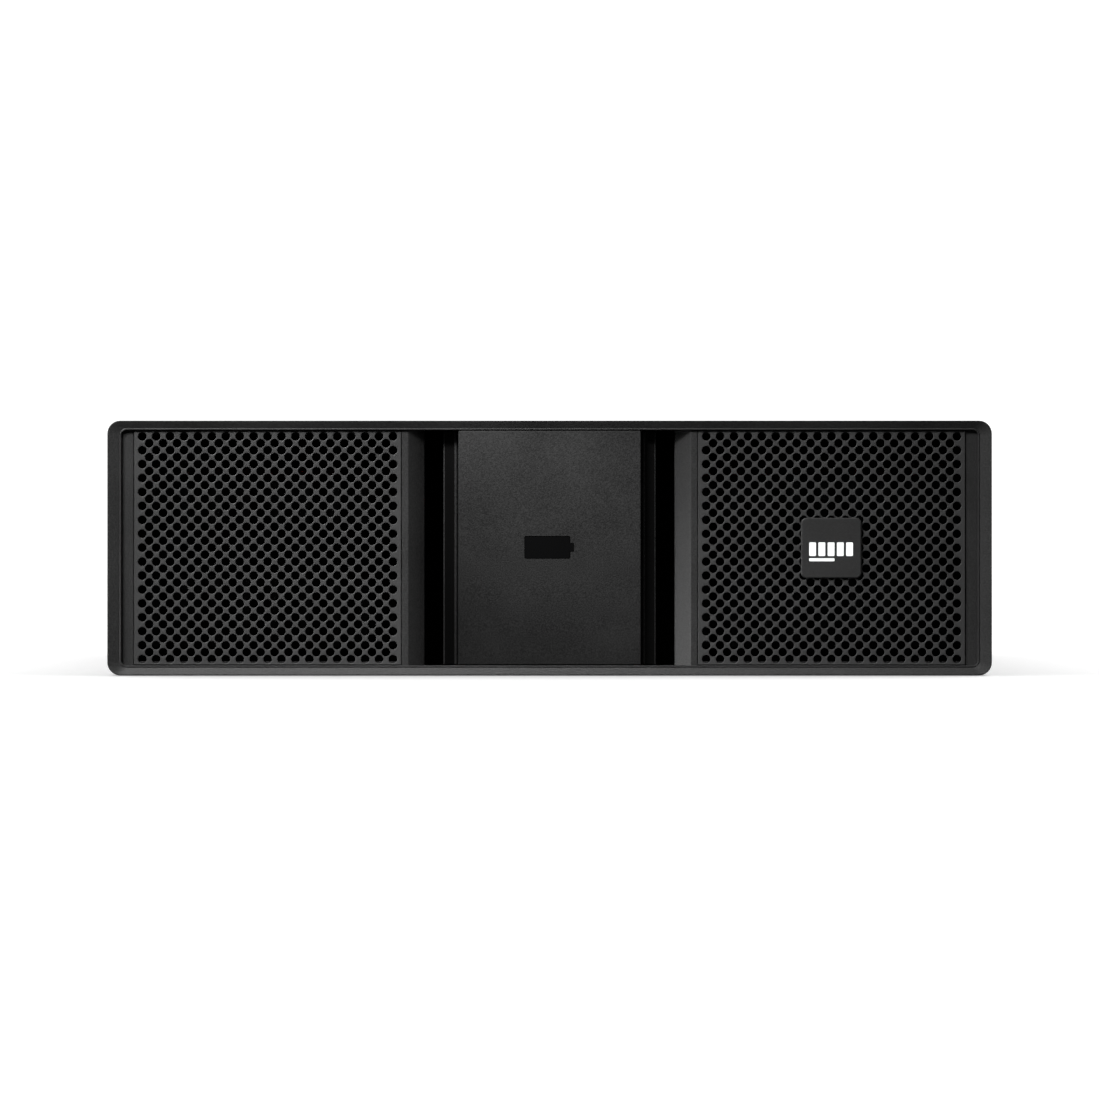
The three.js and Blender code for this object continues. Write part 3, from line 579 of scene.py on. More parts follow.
def perforated_plate(bm, plate):
    """A steel grille. Round holes stand in rows that are half a pitch apart, in a diamond lattice.

    Each hole has its own diamond of sheet round it, and neighbouring diamonds share their edges.
    """
    columns, rows, radius, roll, chamfer = 19, 33, 2.14, 0.26, 0.2
    quarter = 5  # points on each side of a diamond, and on each quarter of its hole
    side_margin, end_margin = 4.05, 2.75
    pitch = (plate.x1 - plate.x0 - 2 * side_margin) / (columns - 1)
    rise = (plate.z1 - plate.z0 - 2 * end_margin) / (rows - 1)
    x_low, x_high = plate.x0 + chamfer, plate.x1 - chamfer
    z_low, z_high = plate.z0 + chamfer, plate.z1 - chamfer
    first_x = (plate.x0 + plate.x1 - pitch * (columns - 1)) / 2
    first_z = (plate.z0 + plate.z1 - rise * (rows - 1)) / 2
    last_x, last_z = first_x + (columns - 1) * pitch, first_z + (rows - 1) * rise
    front, back = plate.y0, plate.y1
    faces = SharedFaces(bm)

    def diamond(cx, cz):
        corners = [(pitch / 2, 0), (0, rise), (-pitch / 2, 0), (0, -rise), (pitch / 2, 0)]
        points = []
        for (ax, az), (bx, bz) in zip(corners, corners[1:]):
            for k in range(quarter):
                t = k / quarter
                z = cz + az + (bz - az) * t
                points.append((cx + ax + (bx - ax) * t, min(max(z, z_low), z_high)))
        return points

    def hole(cx, cz):
        """The sheet of one diamond, from its outline in front through the hole to its outline behind."""
        outline = diamond(cx, cz)
        levels = [(radius + out, front + depth) for depth, out in quarter_round(roll, 2)]
        levels.append((radius, back))
        loops = [[(x, front, z) for x, z in outline]]
        loops += [[(cx + r * c, y, cz + r * s) for c, s in circle(4 * quarter)] for r, y in levels]
        loops.append([(x, back, z) for x, z in outline])
        for inner, outer in zip(loops, loops[1:]):
            for i in range(len(inner)):
                j = (i + 1) % len(inner)
                faces.add((inner[i], inner[j], outer[j], outer[i]))

    def border(cx, cz, quadrant, edge_x=None, edge_z=None):
        """Fills from one quadrant of an outer diamond straight to an edge of the plate, front and back."""
        points = [*diamond(cx, cz), (cx + pitch / 2, cz)]
        run = points[quadrant * quarter : (quadrant + 1) * quarter + 1]
        for a, b in zip(run, run[1:]):
            far = [(edge_x or x, edge_z or z) for x, z in (b, a)]
            for y in (front, back):
                faces.add([(x, y, z) for x, z in (a, b, *far)])

    def walled(key, y):
        """The point of the side wall straight out from a point of the front's or back's edge."""
        same = 0.002  # points closer than this are one
        x, _, z = key
        for edge_x, wall_x in ((x_low, plate.x0), (x_high, plate.x1)):
            x = wall_x if abs(x - edge_x) < same else x
        for edge_z, wall_z in ((z_low, plate.z0), (z_high, plate.z1)):
            z = wall_z if abs(z - edge_z) < same else z
        return x, y, z

    for row in range(rows):
        shift = row % 2
        for column in range(columns - shift):
            hole(first_x + (column + shift / 2) * pitch, first_z + row * rise)
    for column in range(columns):
        for cz, edge_z, quadrants in ((last_z, z_high, (0, 1)), (first_z, z_low, (2, 3))):
            for quadrant in quadrants:
                border(first_x + column * pitch, cz, quadrant, edge_z=edge_z)
    for row in range(0, rows, 2):
        for cx, edge_x, upper, lower in ((last_x, x_high, 0, 3), (first_x, x_low, 1, 2)):
            if row < rows - 1:
                border(cx, first_z + row * rise, upper, edge_x=edge_x)
            if row > 0:
                border(cx, first_z + row * rise, lower, edge_x=edge_x)
    for edge_x, tip_x in ((x_low, first_x - pitch / 2), (x_high, last_x + pitch / 2)):
        for edge_z, tip_z in ((z_low, first_z), (z_high, last_z)):
            for y in (front, back):
                faces.add([(edge_x, y, edge_z), (tip_x, y, edge_z), (tip_x, y, tip_z), (edge_x, y, tip_z)])
    for start, end in faces.open_edges():
        ahead = start[1] < (front + back) / 2
        wall_y = front + chamfer if ahead else back - chamfer
        outer = [walled(end, wall_y), walled(start, wall_y)]
        faces.add([start, end, *outer])
        if ahead:
            faces.add([*outer, walled(start, back - chamfer), walled(end, back - chamfer)])


def badge_plate():
    box = size_of("badge")
    edge, corner = 0.7, 2.6
    stops = [(inset, box.y0 + depth) for depth, inset in quarter_round(edge, 4)]
    stack = []
    for i, y in [*stops, (0, box.y1)]:
        stack.append((rounded_loop(box.x0 + i, box.x1 - i, box.z0 + i, box.z1 - i, corner - i, 8), y))
    return shell(rings, stack)


def badge_print():
    """A plain charge gauge in white: five bars with a thin line under them."""
    box = size_of("badge")
    bar, pitch, tall = 3.4, 4.6, 6.8
    left, low = box.x0 + 4.0, box.z0 + 11.0
    starts = [left + k * pitch for k in range(5)]
    shapes = [rounded_loop(x, x + bar, low, low + tall, 0.5, 3) for x in starts]
    shapes.append(rounded_loop(left, starts[3] - 1.2, low - 2.6, low - 1.1, 0.4, 3))
    bm = bmesh.new()
    for shape in shapes:
        rings(bm, [(shape, box.y0 - 0.04), (shape, box.y0 + 0.05)])
    return bm


# ---------------------------------------------------------------- centre cover


def cover_hat():
    """The cover's cross-section, with a flat face, a step on each side and a lip."""
    wall = 2.2
    step_x, step_y, lip_y = COVER.x1, FACE.y + 6.2, FACE.y + 11.8
    groove, sunk, bead = 0.8, 1.6, 1.9
    half = [
        (FACE.x1, FACE.y),
        (FACE.x1, step_y + sunk),
        (FACE.x1 + groove, step_y + sunk),
        (FACE.x1 + groove, step_y),
        (FACE.x1 + bead, step_y),
        (FACE.x1 + bead + 0.4, step_y + 0.5),
        (step_x, step_y + 0.5),
        (step_x, lip_y),
        (step_x - wall, lip_y),
        (step_x - wall, step_y + wall),
        (FACE.x1 - wall, step_y + wall),
        (FACE.x1 - wall, FACE.y + wall),
    ]
    radii = [0.5, 0.15, 0.15, 0.35, 0.25, 0.2, 0.7, 0.4, 0.4, 1.0, 1.0, 0.6]
    return mirrored(half, radii)


def battery_outline(grow=0.0):
    """The pictogram: a battery lying on its side with its terminal to the right."""
    x0, x1, z0, z1 = -12.4 - grow, 10.2 + grow, 58.4 - grow, 69.5 + grow
    nub_x, nub_z0, nub_z1 = 12.0 + grow, 61.8 - grow, 65.9 + grow
    nub = [(x1, nub_z0), (nub_x, nub_z0), (nub_x, nub_z1), (x1, nub_z1)]
    points = [(x0, z0), (x1, z0), *nub, (x1, z1), (x0, z1)]
    return filleted(points, [0.9, 0.7, 0.25, 0.3, 0.3, 0.25, 0.7, 0.9], 3)


def crowned(points, z):
    """The cross-section at a height: the lower half of the face curves gently back."""
    turn, deepest, panel = 80, 2.2, 3.0
    down = max(0, turn - z) / (turn - COVER.z0)
    return [(x, y + deepest * down**2) if y < FACE.y + panel else (x, y) for x, y in points]


def cover_shell():
    """The cover's cross-section carried up from its lower to its upper edge."""
    edge, steps = 0.3, 16
    section = cover_hat()
    low, high = COVER.z0 + edge, COVER.z1 - edge
    layers = [(section, low + (high - low) * k / steps) for k in range(steps + 1)]
    layers = [(shrunk(section, edge), COVER.z0), *layers, (shrunk(section, edge), COVER.z1)]
    bm = bmesh.new()
    skin(bm, [[place(x, y, z) for x, y in crowned(loop, z)] for loop, z in layers])
    return bm


def centre_cover():
    face = cover_shell()
    pocket = shell(prism, battery_outline(0.15), "Y", FACE.y - 1, FACE.y + 1.0)
    prongs = []
    for side in SIDES:
        for low, root in ((5.8, 3.6), (119.6, 1.8)):
            prongs.append(shell(block, side * 28.5, side * 37.5, FACE.y + root, 20, low, low + 2, 0.4))
    return combined(combined(face, "UNION", prongs), "DIFFERENCE", [pocket])


def on_shaded_step(x, y):
    """Whether a point of the cover is on the band beside its face, which is smoother and painted darker as
    shade.
    """
    return FACE.x1 + 2.0 < abs(x) < COVER.x1 - 0.6 and y < FACE.y + 7.2


def battery_symbol():
    inlay = size_of("battery_symbol")
    return shell(prism, battery_outline(-0.05), "Y", inlay.y0, inlay.y1 + 0.15, 0.12)


# ---------------------------------------------------------------- chassis

SHEET = 1.2
PAN = size_of("base_pan")
LID = size_of("top_cover")
BACK = size_of("rear_panel")
BREAKER = size_of("circuit_breaker")
TOGGLE = size_of("breaker_toggle")
STUD = size_of("ground_stud")
OUTLETS = [size_of(f"dc_outlet_{i}") for i in (1, 2)]
PORTS = [size_of(f"detection_port_{i}") for i in (1, 2)]
BEND = 1.8  # outer radius of a fold in the sheet
EAR_HOLES = [(y, z) for y in (58, 92) for z in (25, 100)]


def folded_pan():
    """Floor and two side walls, folded from one sheet, with the trays' guide strips welded in."""
    x, z = PAN.x1, PAN.z1
    half = [(x, 0), (x, z), (x - SHEET, z), (x - SHEET, SHEET)]
    outline = mirrored(half, [BEND, 0.2, 0.2, 0.6])
    guides = [shell(block, side * 210.6, side * 211.8, 60, 560, SHEET - 0.1, 14, 0.2) for side in SIDES]
    holes = bmesh.new()
    for y, z in EAR_HOLES:
        turned(holes, [(2.2, -HALF), (2.2, HALF)], (0, y, z), "X", 24)
    pan = combined(shell(prism, outline, "Y", PAN.y0, PAN.y1, 0.15), "UNION", guides)
    return combined(pan, "DIFFERENCE", [holes])


def rivet_nuts():
    """A threaded insert in each of the holes that take the rack ears."""
    bm = bmesh.new()
    collar = [(1.75, 0.6), (3.5, 0.6), (3.8, 0.4), (3.8, 0.05), (2.15, 0.05)]
    collar += [(2.15, -1.6), (3.0, -2.2), (2.9, -6), (1.75, -6)]
    for side in SIDES:
        for y, z in EAR_HOLES:
            profile = [(radius, side * at) for radius, at in collar]
            turned(bm, profile, (side * PAN.x1, y, z), "X", 24, hollow=True)
    return bm


def folded_lid():
    """The top cover: a flange down each side and one down the back."""
    x, low, top = LID.x1, LID.z0, LID.z1
    half = [(-x, top), (-x, low), (SHEET - x, low), (SHEET - x, top - SHEET)]
    sheet = mirrored(half, [BEND, 0.2, 0.2, 0.6])
    flange = shell(block, -x + BEND, x - BEND, LID.y1 - SHEET, LID.y1, 114, top - 0.4, 0.35)
    return combined(shell(prism, sheet, "Y", LID.y0, LID.y1, 0.15), "UNION", [flange])


def chassis_screws():
    bm = bmesh.new()
    for side, axis in ((-1, "-X"), (1, "+X")):
        screw_heads(bm, [(side * LID.x1, y, 117.5) for y in (100, 245, 390, 535, 650)], axis, 2.7, 0.45)
    screw_heads(bm, [(x, LID.y1, 119.6) for x in (-196, -66, 66, 196)], "+Y", 2.9, 1.5)
    corners = [(side * 209.5, BACK.y1, z) for side in SIDES for z in (12, 62, 106)]
    screw_heads(bm, corners, "+Y", 2.9, 1.6)
    return bm


def rear_sheet():
    """The back, with slots for air and cut-outs for breaker, outlets, ports and stud."""
    front = BACK.y1 - SHEET
    outline = rounded_loop(BACK.x0, BACK.x1, BACK.z0, BACK.z1, 1.2, 3)
    plate = shell(prism, outline, "Y", front, BACK.y1, 0.15)
    flanges = [
        shell(block, side * (BACK.x1 - SHEET), side * BACK.x1, BACK.y0, front + 0.2, 10, 115, 0.2)
        for side in SIDES
    ]
    holes = bmesh.new()
    through = "Y", front - 1, BACK.y1 + 1
    prism(holes, rounded_loop(BREAKER.x0, BREAKER.x1, 39.7, 85.3, 1), *through)
    for outlet in OUTLETS:
        prism(holes, rounded_loop(outlet.x - 22, outlet.x + 22, 50.2, 74.8, 1.5), *through)
    ports = PORTS[1].x0 - 0.3, PORTS[0].x1 + 0.3, PORTS[0].z0 - 0.3, PORTS[0].z1 + 0.3
    prism(holes, rounded_loop(*ports, 0.8), *through)
    prism(holes, [(STUD.x + 3.2 * c, STUD.z + 3.2 * a) for c, a in circle(24)], *through)
    slots = [-196 + 6 * k for k in range(12)] + [168 + 6 * k for k in range(6)]
    for x in slots:
        for low, high in ((34, 60), (64, 90)):
            prism(holes, rounded_loop(x - 1.5, x + 1.5, low, high, 1.49, 5), *through)
    return combined(combined(plate, "UNION", flanges), "DIFFERENCE", [holes])


MOUTH = ("Y", 664, 690)  # an outlet's mouth, from its floor to beyond its rim
JACK = ("Y", 663, 680)  # the same for a port


def outlet_housing(outlet):
    """A power outlet: a flange on the sheet, a nozzle and a keyed mouth."""
    x, z = outlet.x, outlet.z
    seat = BACK.y1 + 0.3
    body = shell(block, x - 19, x + 19, outlet.y0, outlet.y1, z - 9, z + 9, 0.8)
    collar = rounded_loop(outlet.x0, outlet.x1, outlet.z0, outlet.z1, 4, 6)
    flange = shell(prism, collar, "Y", seat, seat + 2.2, 0.5)
    mouth = shell(prism, rounded_loop(x - 16, x + 16, z - 6, z + 6, 2.2, 6), *MOUTH)
    keys = bmesh.new()
    for key_x in (x - 10, x + 10):
        prism(keys, rounded_loop(key_x - 1.6, key_x + 1.6, z + 5, z + 7.6, 0.4, 2), *MOUTH)
    return combined(combined(body, "UNION", [flange]), "DIFFERENCE", [mouth, keys])


def outlet_contacts():
    """Two sleeves for the battery's poles and three sense pins between them, in each outlet."""
    sleeve = [(2.6, 664.2), (3.9, 664.2), (3.9, 675), (3.6, 675.6), (2.9, 675.6), (2.6, 675.2)]
    pin = [(0.8, 664.2), (0.8, 672), (0.3, 673)]
    bm = bmesh.new()
    for outlet in OUTLETS:
        for offset in (-9.5, 9.5):
            turned(bm, sleeve, (outlet.x + offset, 0, outlet.z), "Y", 24, hollow=True)
        for offset in (-3, 0, 3):
            turned(bm, pin, (outlet.x + offset, 0, outlet.z), "Y", 12)
    return bm


def outlet_screws():
    spots = [(outlet.x + side * 23, BACK.y1 + 2.5, outlet.z) for outlet in OUTLETS for side in SIDES]
    return shell(screw_heads, spots, "+Y", 2.5, 1.3)


def port_housing(port):
    """A small jack with a stepped keyway over its mouth."""
    body = shell(block, port.x0, port.x1, port.y0, port.y1, port.z0, port.z1, 0.5)
    cuts = []
    for half, low, high in ((5.9, 7, 13.8), (3, 13.4, 15.8), (1.7, 15.4, 17)):
        hole = rounded_loop(port.x - half, port.x + half, port.z0 + low, port.z0 + high, 0.3, 2)
        cuts.append(shell(prism, hole, *JACK))
    return combined(body, "DIFFERENCE", cuts)


def port_contacts():
    """Eight sprung wires on the floor of each port."""
    bm = bmesh.new()
    for port in PORTS:
        for k in range(8):
            x, z = port.x + 1.02 * (k - 3.5), port.z0 + 7.6
            tube(bm, [(x, 663.4, z + 2.6), (x, 670, z + 1.7), (x, 675.2, z), (x, 676, z - 0.1)], 0.24, 8)
    return bm


def breaker_marks():
    """The usual bar for on, over the lever, and ring for off, under it."""
    x, front = BREAKER.x, BREAKER.y1
    bm = shell(block, x - 0.5, x + 0.5, front - 0.1, front + 0.12, 78.6, 83, 0.1)
    profile = [(1.6, -0.1), (2.4, -0.1), (2.4, 0.12), (1.6, 0.12)]
    turned(bm, profile, (x, front, 44.3), "Y", 32, hollow=True)
    return bm


def breaker_lever():
    """A drum with a wedge-shaped lever. It points down when off."""
    hinge = Vector((668, 62.5))
    radius, half, wide, edge = 7.6, TOGGLE.x1 - TOGGLE.x, 20, 0.6
    tilt = Matrix.Rotation(math.radians(-35), 2)
    wedge = filleted([(0, -3.4), (12.9, -1.5), (12.9, 1.5), (0, 3.4)], [0, 0.8, 0.8, 0])
    outline = [tuple(tilt @ Vector(point) + hinge) for point in wedge]
    profile = [(radius - edge, -half), (radius, edge - half), (radius, half - edge), (radius - edge, half)]
    drum = shell(turned, profile, (TOGGLE.x, *hinge), "X", 48)
    lever = shell(prism, outline, "X", TOGGLE.x - wide, TOGGLE.x + wide, edge)
    grooves = bmesh.new()
    for along in (8.2, 9.8, 11.4):
        for across in (-2.5, 2.5):
            centre = tilt @ Vector((along, across)) + hinge
            turned(grooves, [(0.35, -wide + 4), (0.35, wide - 4)], (TOGGLE.x, *centre), "X", 12)
    return combined(combined(drum, "UNION", [lever]), "DIFFERENCE", [grooves])


def earth_stud():
    """Threaded stud, toothed washer and hexagonal nut."""
    pitch, turns, teeth = 0.8, 19, 16
    seat = BACK.y1 + 0.3
    thread = [(2.5 - 0.35 * (k % 2), STUD.y0 + 0.3 + k * pitch / 2) for k in range(2 * turns)]
    bm = shell(turned, [(2.3, STUD.y0), *thread, (1.9, STUD.y1 - 0.1)], (STUD.x, 0, STUD.z), "Y", 24)
    radii = [6.5, 6.5, 5.6, 5.6] * teeth
    star = [(STUD.x + r * c, STUD.z + r * s) for r, (c, s) in zip(radii, circle(4 * teeth))]
    prism(bm, star, "Y", seat, seat + 1.2, 0.15)
    hexagon = filleted([(STUD.x + 5 * c, STUD.z + 5 * s) for c, s in circle(6)], [0.3] * 6, 2)
    prism(bm, hexagon, "Y", seat + 1.2, seat + 3.3, 0.4)
    return bm


def blank_label():
    """A rating plate with nothing printed on it."""
    return shell(prism, rounded_loop(60, 130, 88, 108, 1.5), "Y", BACK.y1 + 0.02, BACK.y1 + 0.22)


# ---------------------------------------------------------------- battery trays

BLOCKS_IN_TRAY = 10
TERMINAL = SimpleNamespace(x=21, y=-65.5, z=94)  # in the block's own frame, on its lid
LOCAL_Y = -FRONT / MM  # y that place() puts at the frame's origin


def block_spots(label, side):
    """Middle of each block's underside, and how far it is turned about Z."""
    for i in range(1, BLOCKS_IN_TRAY + 1):
        box = size_of(f"battery_block_{label}_{i}")
        yield i, Vector((box.x, box.y, box.z0)), side * math.pi / 2 if i == BLOCKS_IN_TRAY else 0.0


def battery_case():
    """A sealed 12 V block about its own middle: case, overhanging lid and a vent panel in the lid."""
    bm = bmesh.new()

    def level(inset, z, radius=3.0):
        return rounded_loop(inset - 32.5, 32.5 - inset, inset - 75.5, 75.5 - inset, radius), z

    def panel(grow, z):
        return rounded_loop(-22 - grow, 22 + grow, -50 - grow, 66 + grow, 3 + grow), z

    levels = [
        level(1.1, 0, 2.0),
        level(0.5, 0.7),
        level(0.4, 83.2),
        level(0.9, 83.6, 2.6),
        level(0.9, 84.3, 2.6),
        level(0.1, 84.6),
        level(0, 85),
        level(0, 93.1),
        level(0.3, 93.75),
        level(0.9, 94, 2.4),
        panel(0.9, 94),
        panel(0.7, 93.1),
        panel(0.1, 93.1),
        panel(0, 93.9),
        panel(-0.4, 94),
    ]
    skin(bm, [[place(x, LOCAL_Y + y, z) for x, y in loop] for loop, z in levels])
    for end in SIDES:
        for k in range(4):
            upright(bm, 16 * k - 24.01, LOCAL_Y + end * 75.1, 0.6, 0.25, 10, 78, 0.15)
    return bm


def terminal_points(label, side, which):
    """World places of the blocks' terminals: which is 1 for positive and -1 for negative."""
    points = {}
    for i, middle, turn in block_spots(label, side):
        local = Vector((which * TERMINAL.x, TERMINAL.y, TERMINAL.z))
        points[i] = middle + Matrix.Rotation(turn, 3, "Z") @ local
    return points


def terminal_bases(label, side, which):
    bm = bmesh.new()
    for point in terminal_points(label, side, which).values():
        upright(bm, point.x, point.y, 4, 4, point.z - 0.4, point.z + 0.9, 0.5)
    return bm


def terminal_tabs(label, side):
    bm = bmesh.new()
    for which in SIDES:
        for i, point in terminal_points(label, side, which).items():
            halves = (3.15, 0.4) if i < BLOCKS_IN_TRAY else (0.4, 3.15)
            upright(bm, point.x, point.y, *halves, point.z, point.z + 4.4, 0.12)
    return bm


NEAR, FAR = 24.5, 197.3  # outermost terminals of a row, from the middle of the case
LINKED = ((66.5, 89.9), (131.9, 155.3))  # neighbouring terminals in a row
TERMINAL_ROWS = (121.8, 273.2, 424.6)
LAST_X, LAST_YS = 198.6, (57.5, 99.5)  # the cross block's two terminals
TAB_Z = 97.1  # lid under the tabs
ROOT_Z = TAB_Z + 7  # where a cable comes out of its boot
RUN_Z = 102.4  # height of a cable that lies over the lids and the hold-down bar
FUSE_Z = 91.5  # height of the fuse cartridge's axis
CABLE = 2.2  # radius


def link_ends():
    """Every terminal that a cable is pushed onto, as (distance from the middle, Y)."""
    ends = [(x, y) for y in TERMINAL_ROWS for x in (NEAR, *LINKED[0], *LINKED[1], FAR)]
    return [*ends, *((LAST_X, y) for y in LAST_YS)]


def row_links(side):
    """Short arched links between neighbours in a row."""
    high = TAB_Z + 12
    bm = bmesh.new()
    for y in TERMINAL_ROWS:
        for x0, x1 in LINKED:
            arch = [(x0, ROOT_Z), (x0 + 0.8, high - 2.5), (x0 + 6, high)]
            arch += [(x1 - 6, high), (x1 - 0.8, high - 2.5), (x1, ROOT_Z)]
            tube(bm, smooth_path([(side * x, y, z) for x, z in arch], 5), CABLE, 12)
    return bm


def routed(bm, side, corners, bend):
    """A cable of straight runs and round bends, given by its distance from the middle, Y and Z."""
    tube(bm, round_path([(side * x, y, z) for x, y, z in corners], bend, 7), CABLE, 12)


def row_to_row(side, y0, y1):
    """From the outer end of one row back and across to the inner end of the next."""
    lane = y1 - 15
    corners = [(FAR, y0 + 1, ROOT_Z), (FAR, y0 + 12, RUN_Z), (FAR, lane, RUN_Z)]
    corners += [(NEAR, lane, RUN_Z), (NEAR, y1 - 1, ROOT_Z)]
    return shell(routed, side, corners, 6)


def return_cable(side):
    """From the last row forward along the tray's outer edge to the cross block."""
    lane = 204.5
    corners = [(FAR, TERMINAL_ROWS[2], ROOT_Z), (FAR + 2, 412, RUN_Z), (lane, 396, RUN_Z)]
    corners += [(lane, 80, RUN_Z), (LAST_X, LAST_YS[0] + 1, ROOT_Z)]
    return shell(routed, side, corners, 6)


def fuse_link(side):
    """From the first row to the fuse, and from the cross block down beside it to the lead."""
    first = [(NEAR, TERMINAL_ROWS[0] - 1, ROOT_Z), (NEAR + 1, 112, 103)]
    first += [(34, 107.5, 98), (34, 104.5, FUSE_Z)]
    y, down_x = LAST_YS[1], 52.6
    last = [(LAST_X, y, ROOT_Z), (LAST_X - 12, y + 8.5, RUN_Z), (60, y + 8.5, RUN_Z)]
    last += [(down_x, y - 2, 96), (down_x, 84, 60), (down_x, 70, 12)]
    bm = bmesh.new()
    routed(bm, side, first, 3)
    routed(bm, side, last, 5)
    return bm


def tab_boots(side):
    """Insulated push-on connectors on the tabs."""
    bm = bmesh.new()
    for x, y in link_ends():
        halves = (2.6, 4.2) if x == LAST_X else (4.2, 2.6)
        upright(bm, side * x, y, *halves, TAB_Z + 1.2, TAB_Z + 8.4, 0.8)
    return bm


def fuse_base(label):
    """A moulded base with two walls that hold the cartridge between them."""
    fuse = size_of(f"fuse_block_{label}")
    bm = bmesh.new()
    block(bm, fuse.x0, fuse.x1, fuse.y0, fuse.y1, fuse.z0, 82, 1.2)
    for y0, y1 in ((fuse.y0 + 0.2, fuse.y0 + 4), (fuse.y1 - 7, fuse.y1 - 3.2)):
        block(bm, fuse.x0 + 3, fuse.x1 - 3, y0, y1, 80, fuse.z1, 1.0)
    return bm


def fuse_cartridge(label):
    fuse = size_of(f"fuse_block_{label}")
    return shell(turned, [(6.2, fuse.y0 + 9), (6.2, fuse.y1 - 12)], (fuse.x, 0, FUSE_Z), "Y")


def fuse_metal(label):
    """End caps of the cartridge and the clips that they sit in."""
    fuse = size_of(f"fuse_block_{label}")
    bm = bmesh.new()
    for start in (fuse.y0 + 5, fuse.y1 - 16):
        cap = [(6.1, start), (6.8, start + 0.5), (6.8, start + 7.5), (6.3, start + 8)]
        turned(bm, cap, (fuse.x, 0, FUSE_Z), "Y")
        for side in SIDES:
            upright(bm, fuse.x + side * 7.4, start + 4, 0.5, 2.5, 81.5, 96, 0.2)
    return bm


def lead_cores(label, side, offset):
    """One of the two round cores of a tray's lead, side by side from plug to fuse."""
    z = size_of(f"tray_lead_{label}").z + offset
    x = side * 34
    corners = [(0, 23.9, z), (0, 10, z), (x, 10, z), (x, 61.8, z)]
    return shell(tube, round_path(corners, 11, 8), 2.95, 16)


def plug_body(label):
    """A plug with a narrower nose and ridges for the fingers."""
    plug = size_of(f"tray_plug_{label}")
    bm = shell(block, -7.5, 7.5, plug.y0, 37.7, plug.z0, plug.z1, 1.2)
    block(bm, -5.6, 5.6, 37, plug.y1, plug.z0 + 2.7, plug.z1 - 2.7, 0.6)
    for side in SIDES:
        for k in range(5):
            y = plug.y0 + 2.2 + 2.1 * k
            block(bm, side * 7.2, side * 8, y, y + 1, plug.z0 + 3, plug.z1 - 3, 0.3)
    return bm


def handle_rod(side):
    """The pull handle: a bent rod with a foot at each end."""
    inner, outer, front, foot, z = 70, 162, 18.05, 38.9, 63
    corners = [(inner, foot), (inner, front), (outer, front), (outer, foot)]
    bm = shell(tube, round_path([(side * x, y, z) for x, y in corners], 10, 8), 2.95, 20)
    for x in (inner, outer):
        turned(bm, [(3.6, foot - 2.3), (5.6, foot - 1.5), (5.8, foot)], (side * x, 0, z), "Y", 24)
    return bm


# ---------------------------------------------------------------- stage, lights and camera


def soft_box(name, centre, aim, size, power, spread):
    """A rectangular soft box that faces a point, with a grid that narrows its beam."""
    lamp = bpy.data.lights.new(name, "AREA")
    lamp.shape = "RECTANGLE"
    lamp.size, lamp.size_y = size
    lamp.energy = power
    lamp.spread = math.radians(spread)
    obj = added(name, lamp)
    obj.location = centre
    obj.rotation_mode = "QUATERNION"
    obj.rotation_quaternion = (Vector(aim) - Vector(centre)).to_track_quat("-Z", "Y")
    return obj


def build_sky():
    """White behind the object and overhead, dark behind the camera and below the floor."""
    world = bpy.data.worlds.new("studio_sky")
    world.use_nodes = True
    tree = world.node_tree
    direction = node(tree, "TexCoord", {}, "Generated")
    shades = []
    for axis, low, high, least in (("Y", -0.55, -0.25, 0.05), ("Z", -0.2, -0.05, 0.06)):
        along = node(tree, "SeparateXYZ", {"Vector": direction}, axis)
        limits = {"Value": along, "From Min": low, "From Max": high, "To Min": least}
        shades.append(node(tree, "MapRange", limits))
    both = node(tree, "Math", dict(enumerate(shades)), operation="MULTIPLY")
    background = tree.nodes["Background"]
    background.inputs["Strength"].default_value = 1.41
    tree.links.new(both, background.inputs["Color"])
    bpy.context.scene.world = world


def build_stage():
    """A wide white floor that does not light the object, and the sky."""
    reach = 12
    bm = bmesh.new()
    corners = [(-reach, -reach, 0), (reach, -reach, 0), (reach, reach, 0), (-reach, reach, 0)]
    bm.faces.new([bm.verts.new(corner) for corner in corners])
    floor = added("studio_floor", mesh_of(bm, "studio_floor"))
    white = surface("studio_floor", (0.93, 0.93, 0.93), (0.85, 0.9), 40, 0, 0.004)
    glow = white.node_tree.nodes["Principled BSDF"]
    glow.inputs["Emission Color"].default_value = (1, 1, 1, 1)
    glow.inputs["Emission Strength"].default_value = 0.25
    floor.data.materials.append(white)
    floor.visible_diffuse = False
    floor.visible_glossy = False
    build_sky()
    bpy.context.scene.view_settings.view_transform = "Standard"
    return floor


def light_group(name, objects, state):
    """The objects that a lamp leaves out, or the only ones that it lights."""
    group = bpy.data.collections.new(name)
    for obj in objects:
        group.objects.link(obj)
    for row in group.collection_objects:
        row.light_linking.link_state = state
    return group


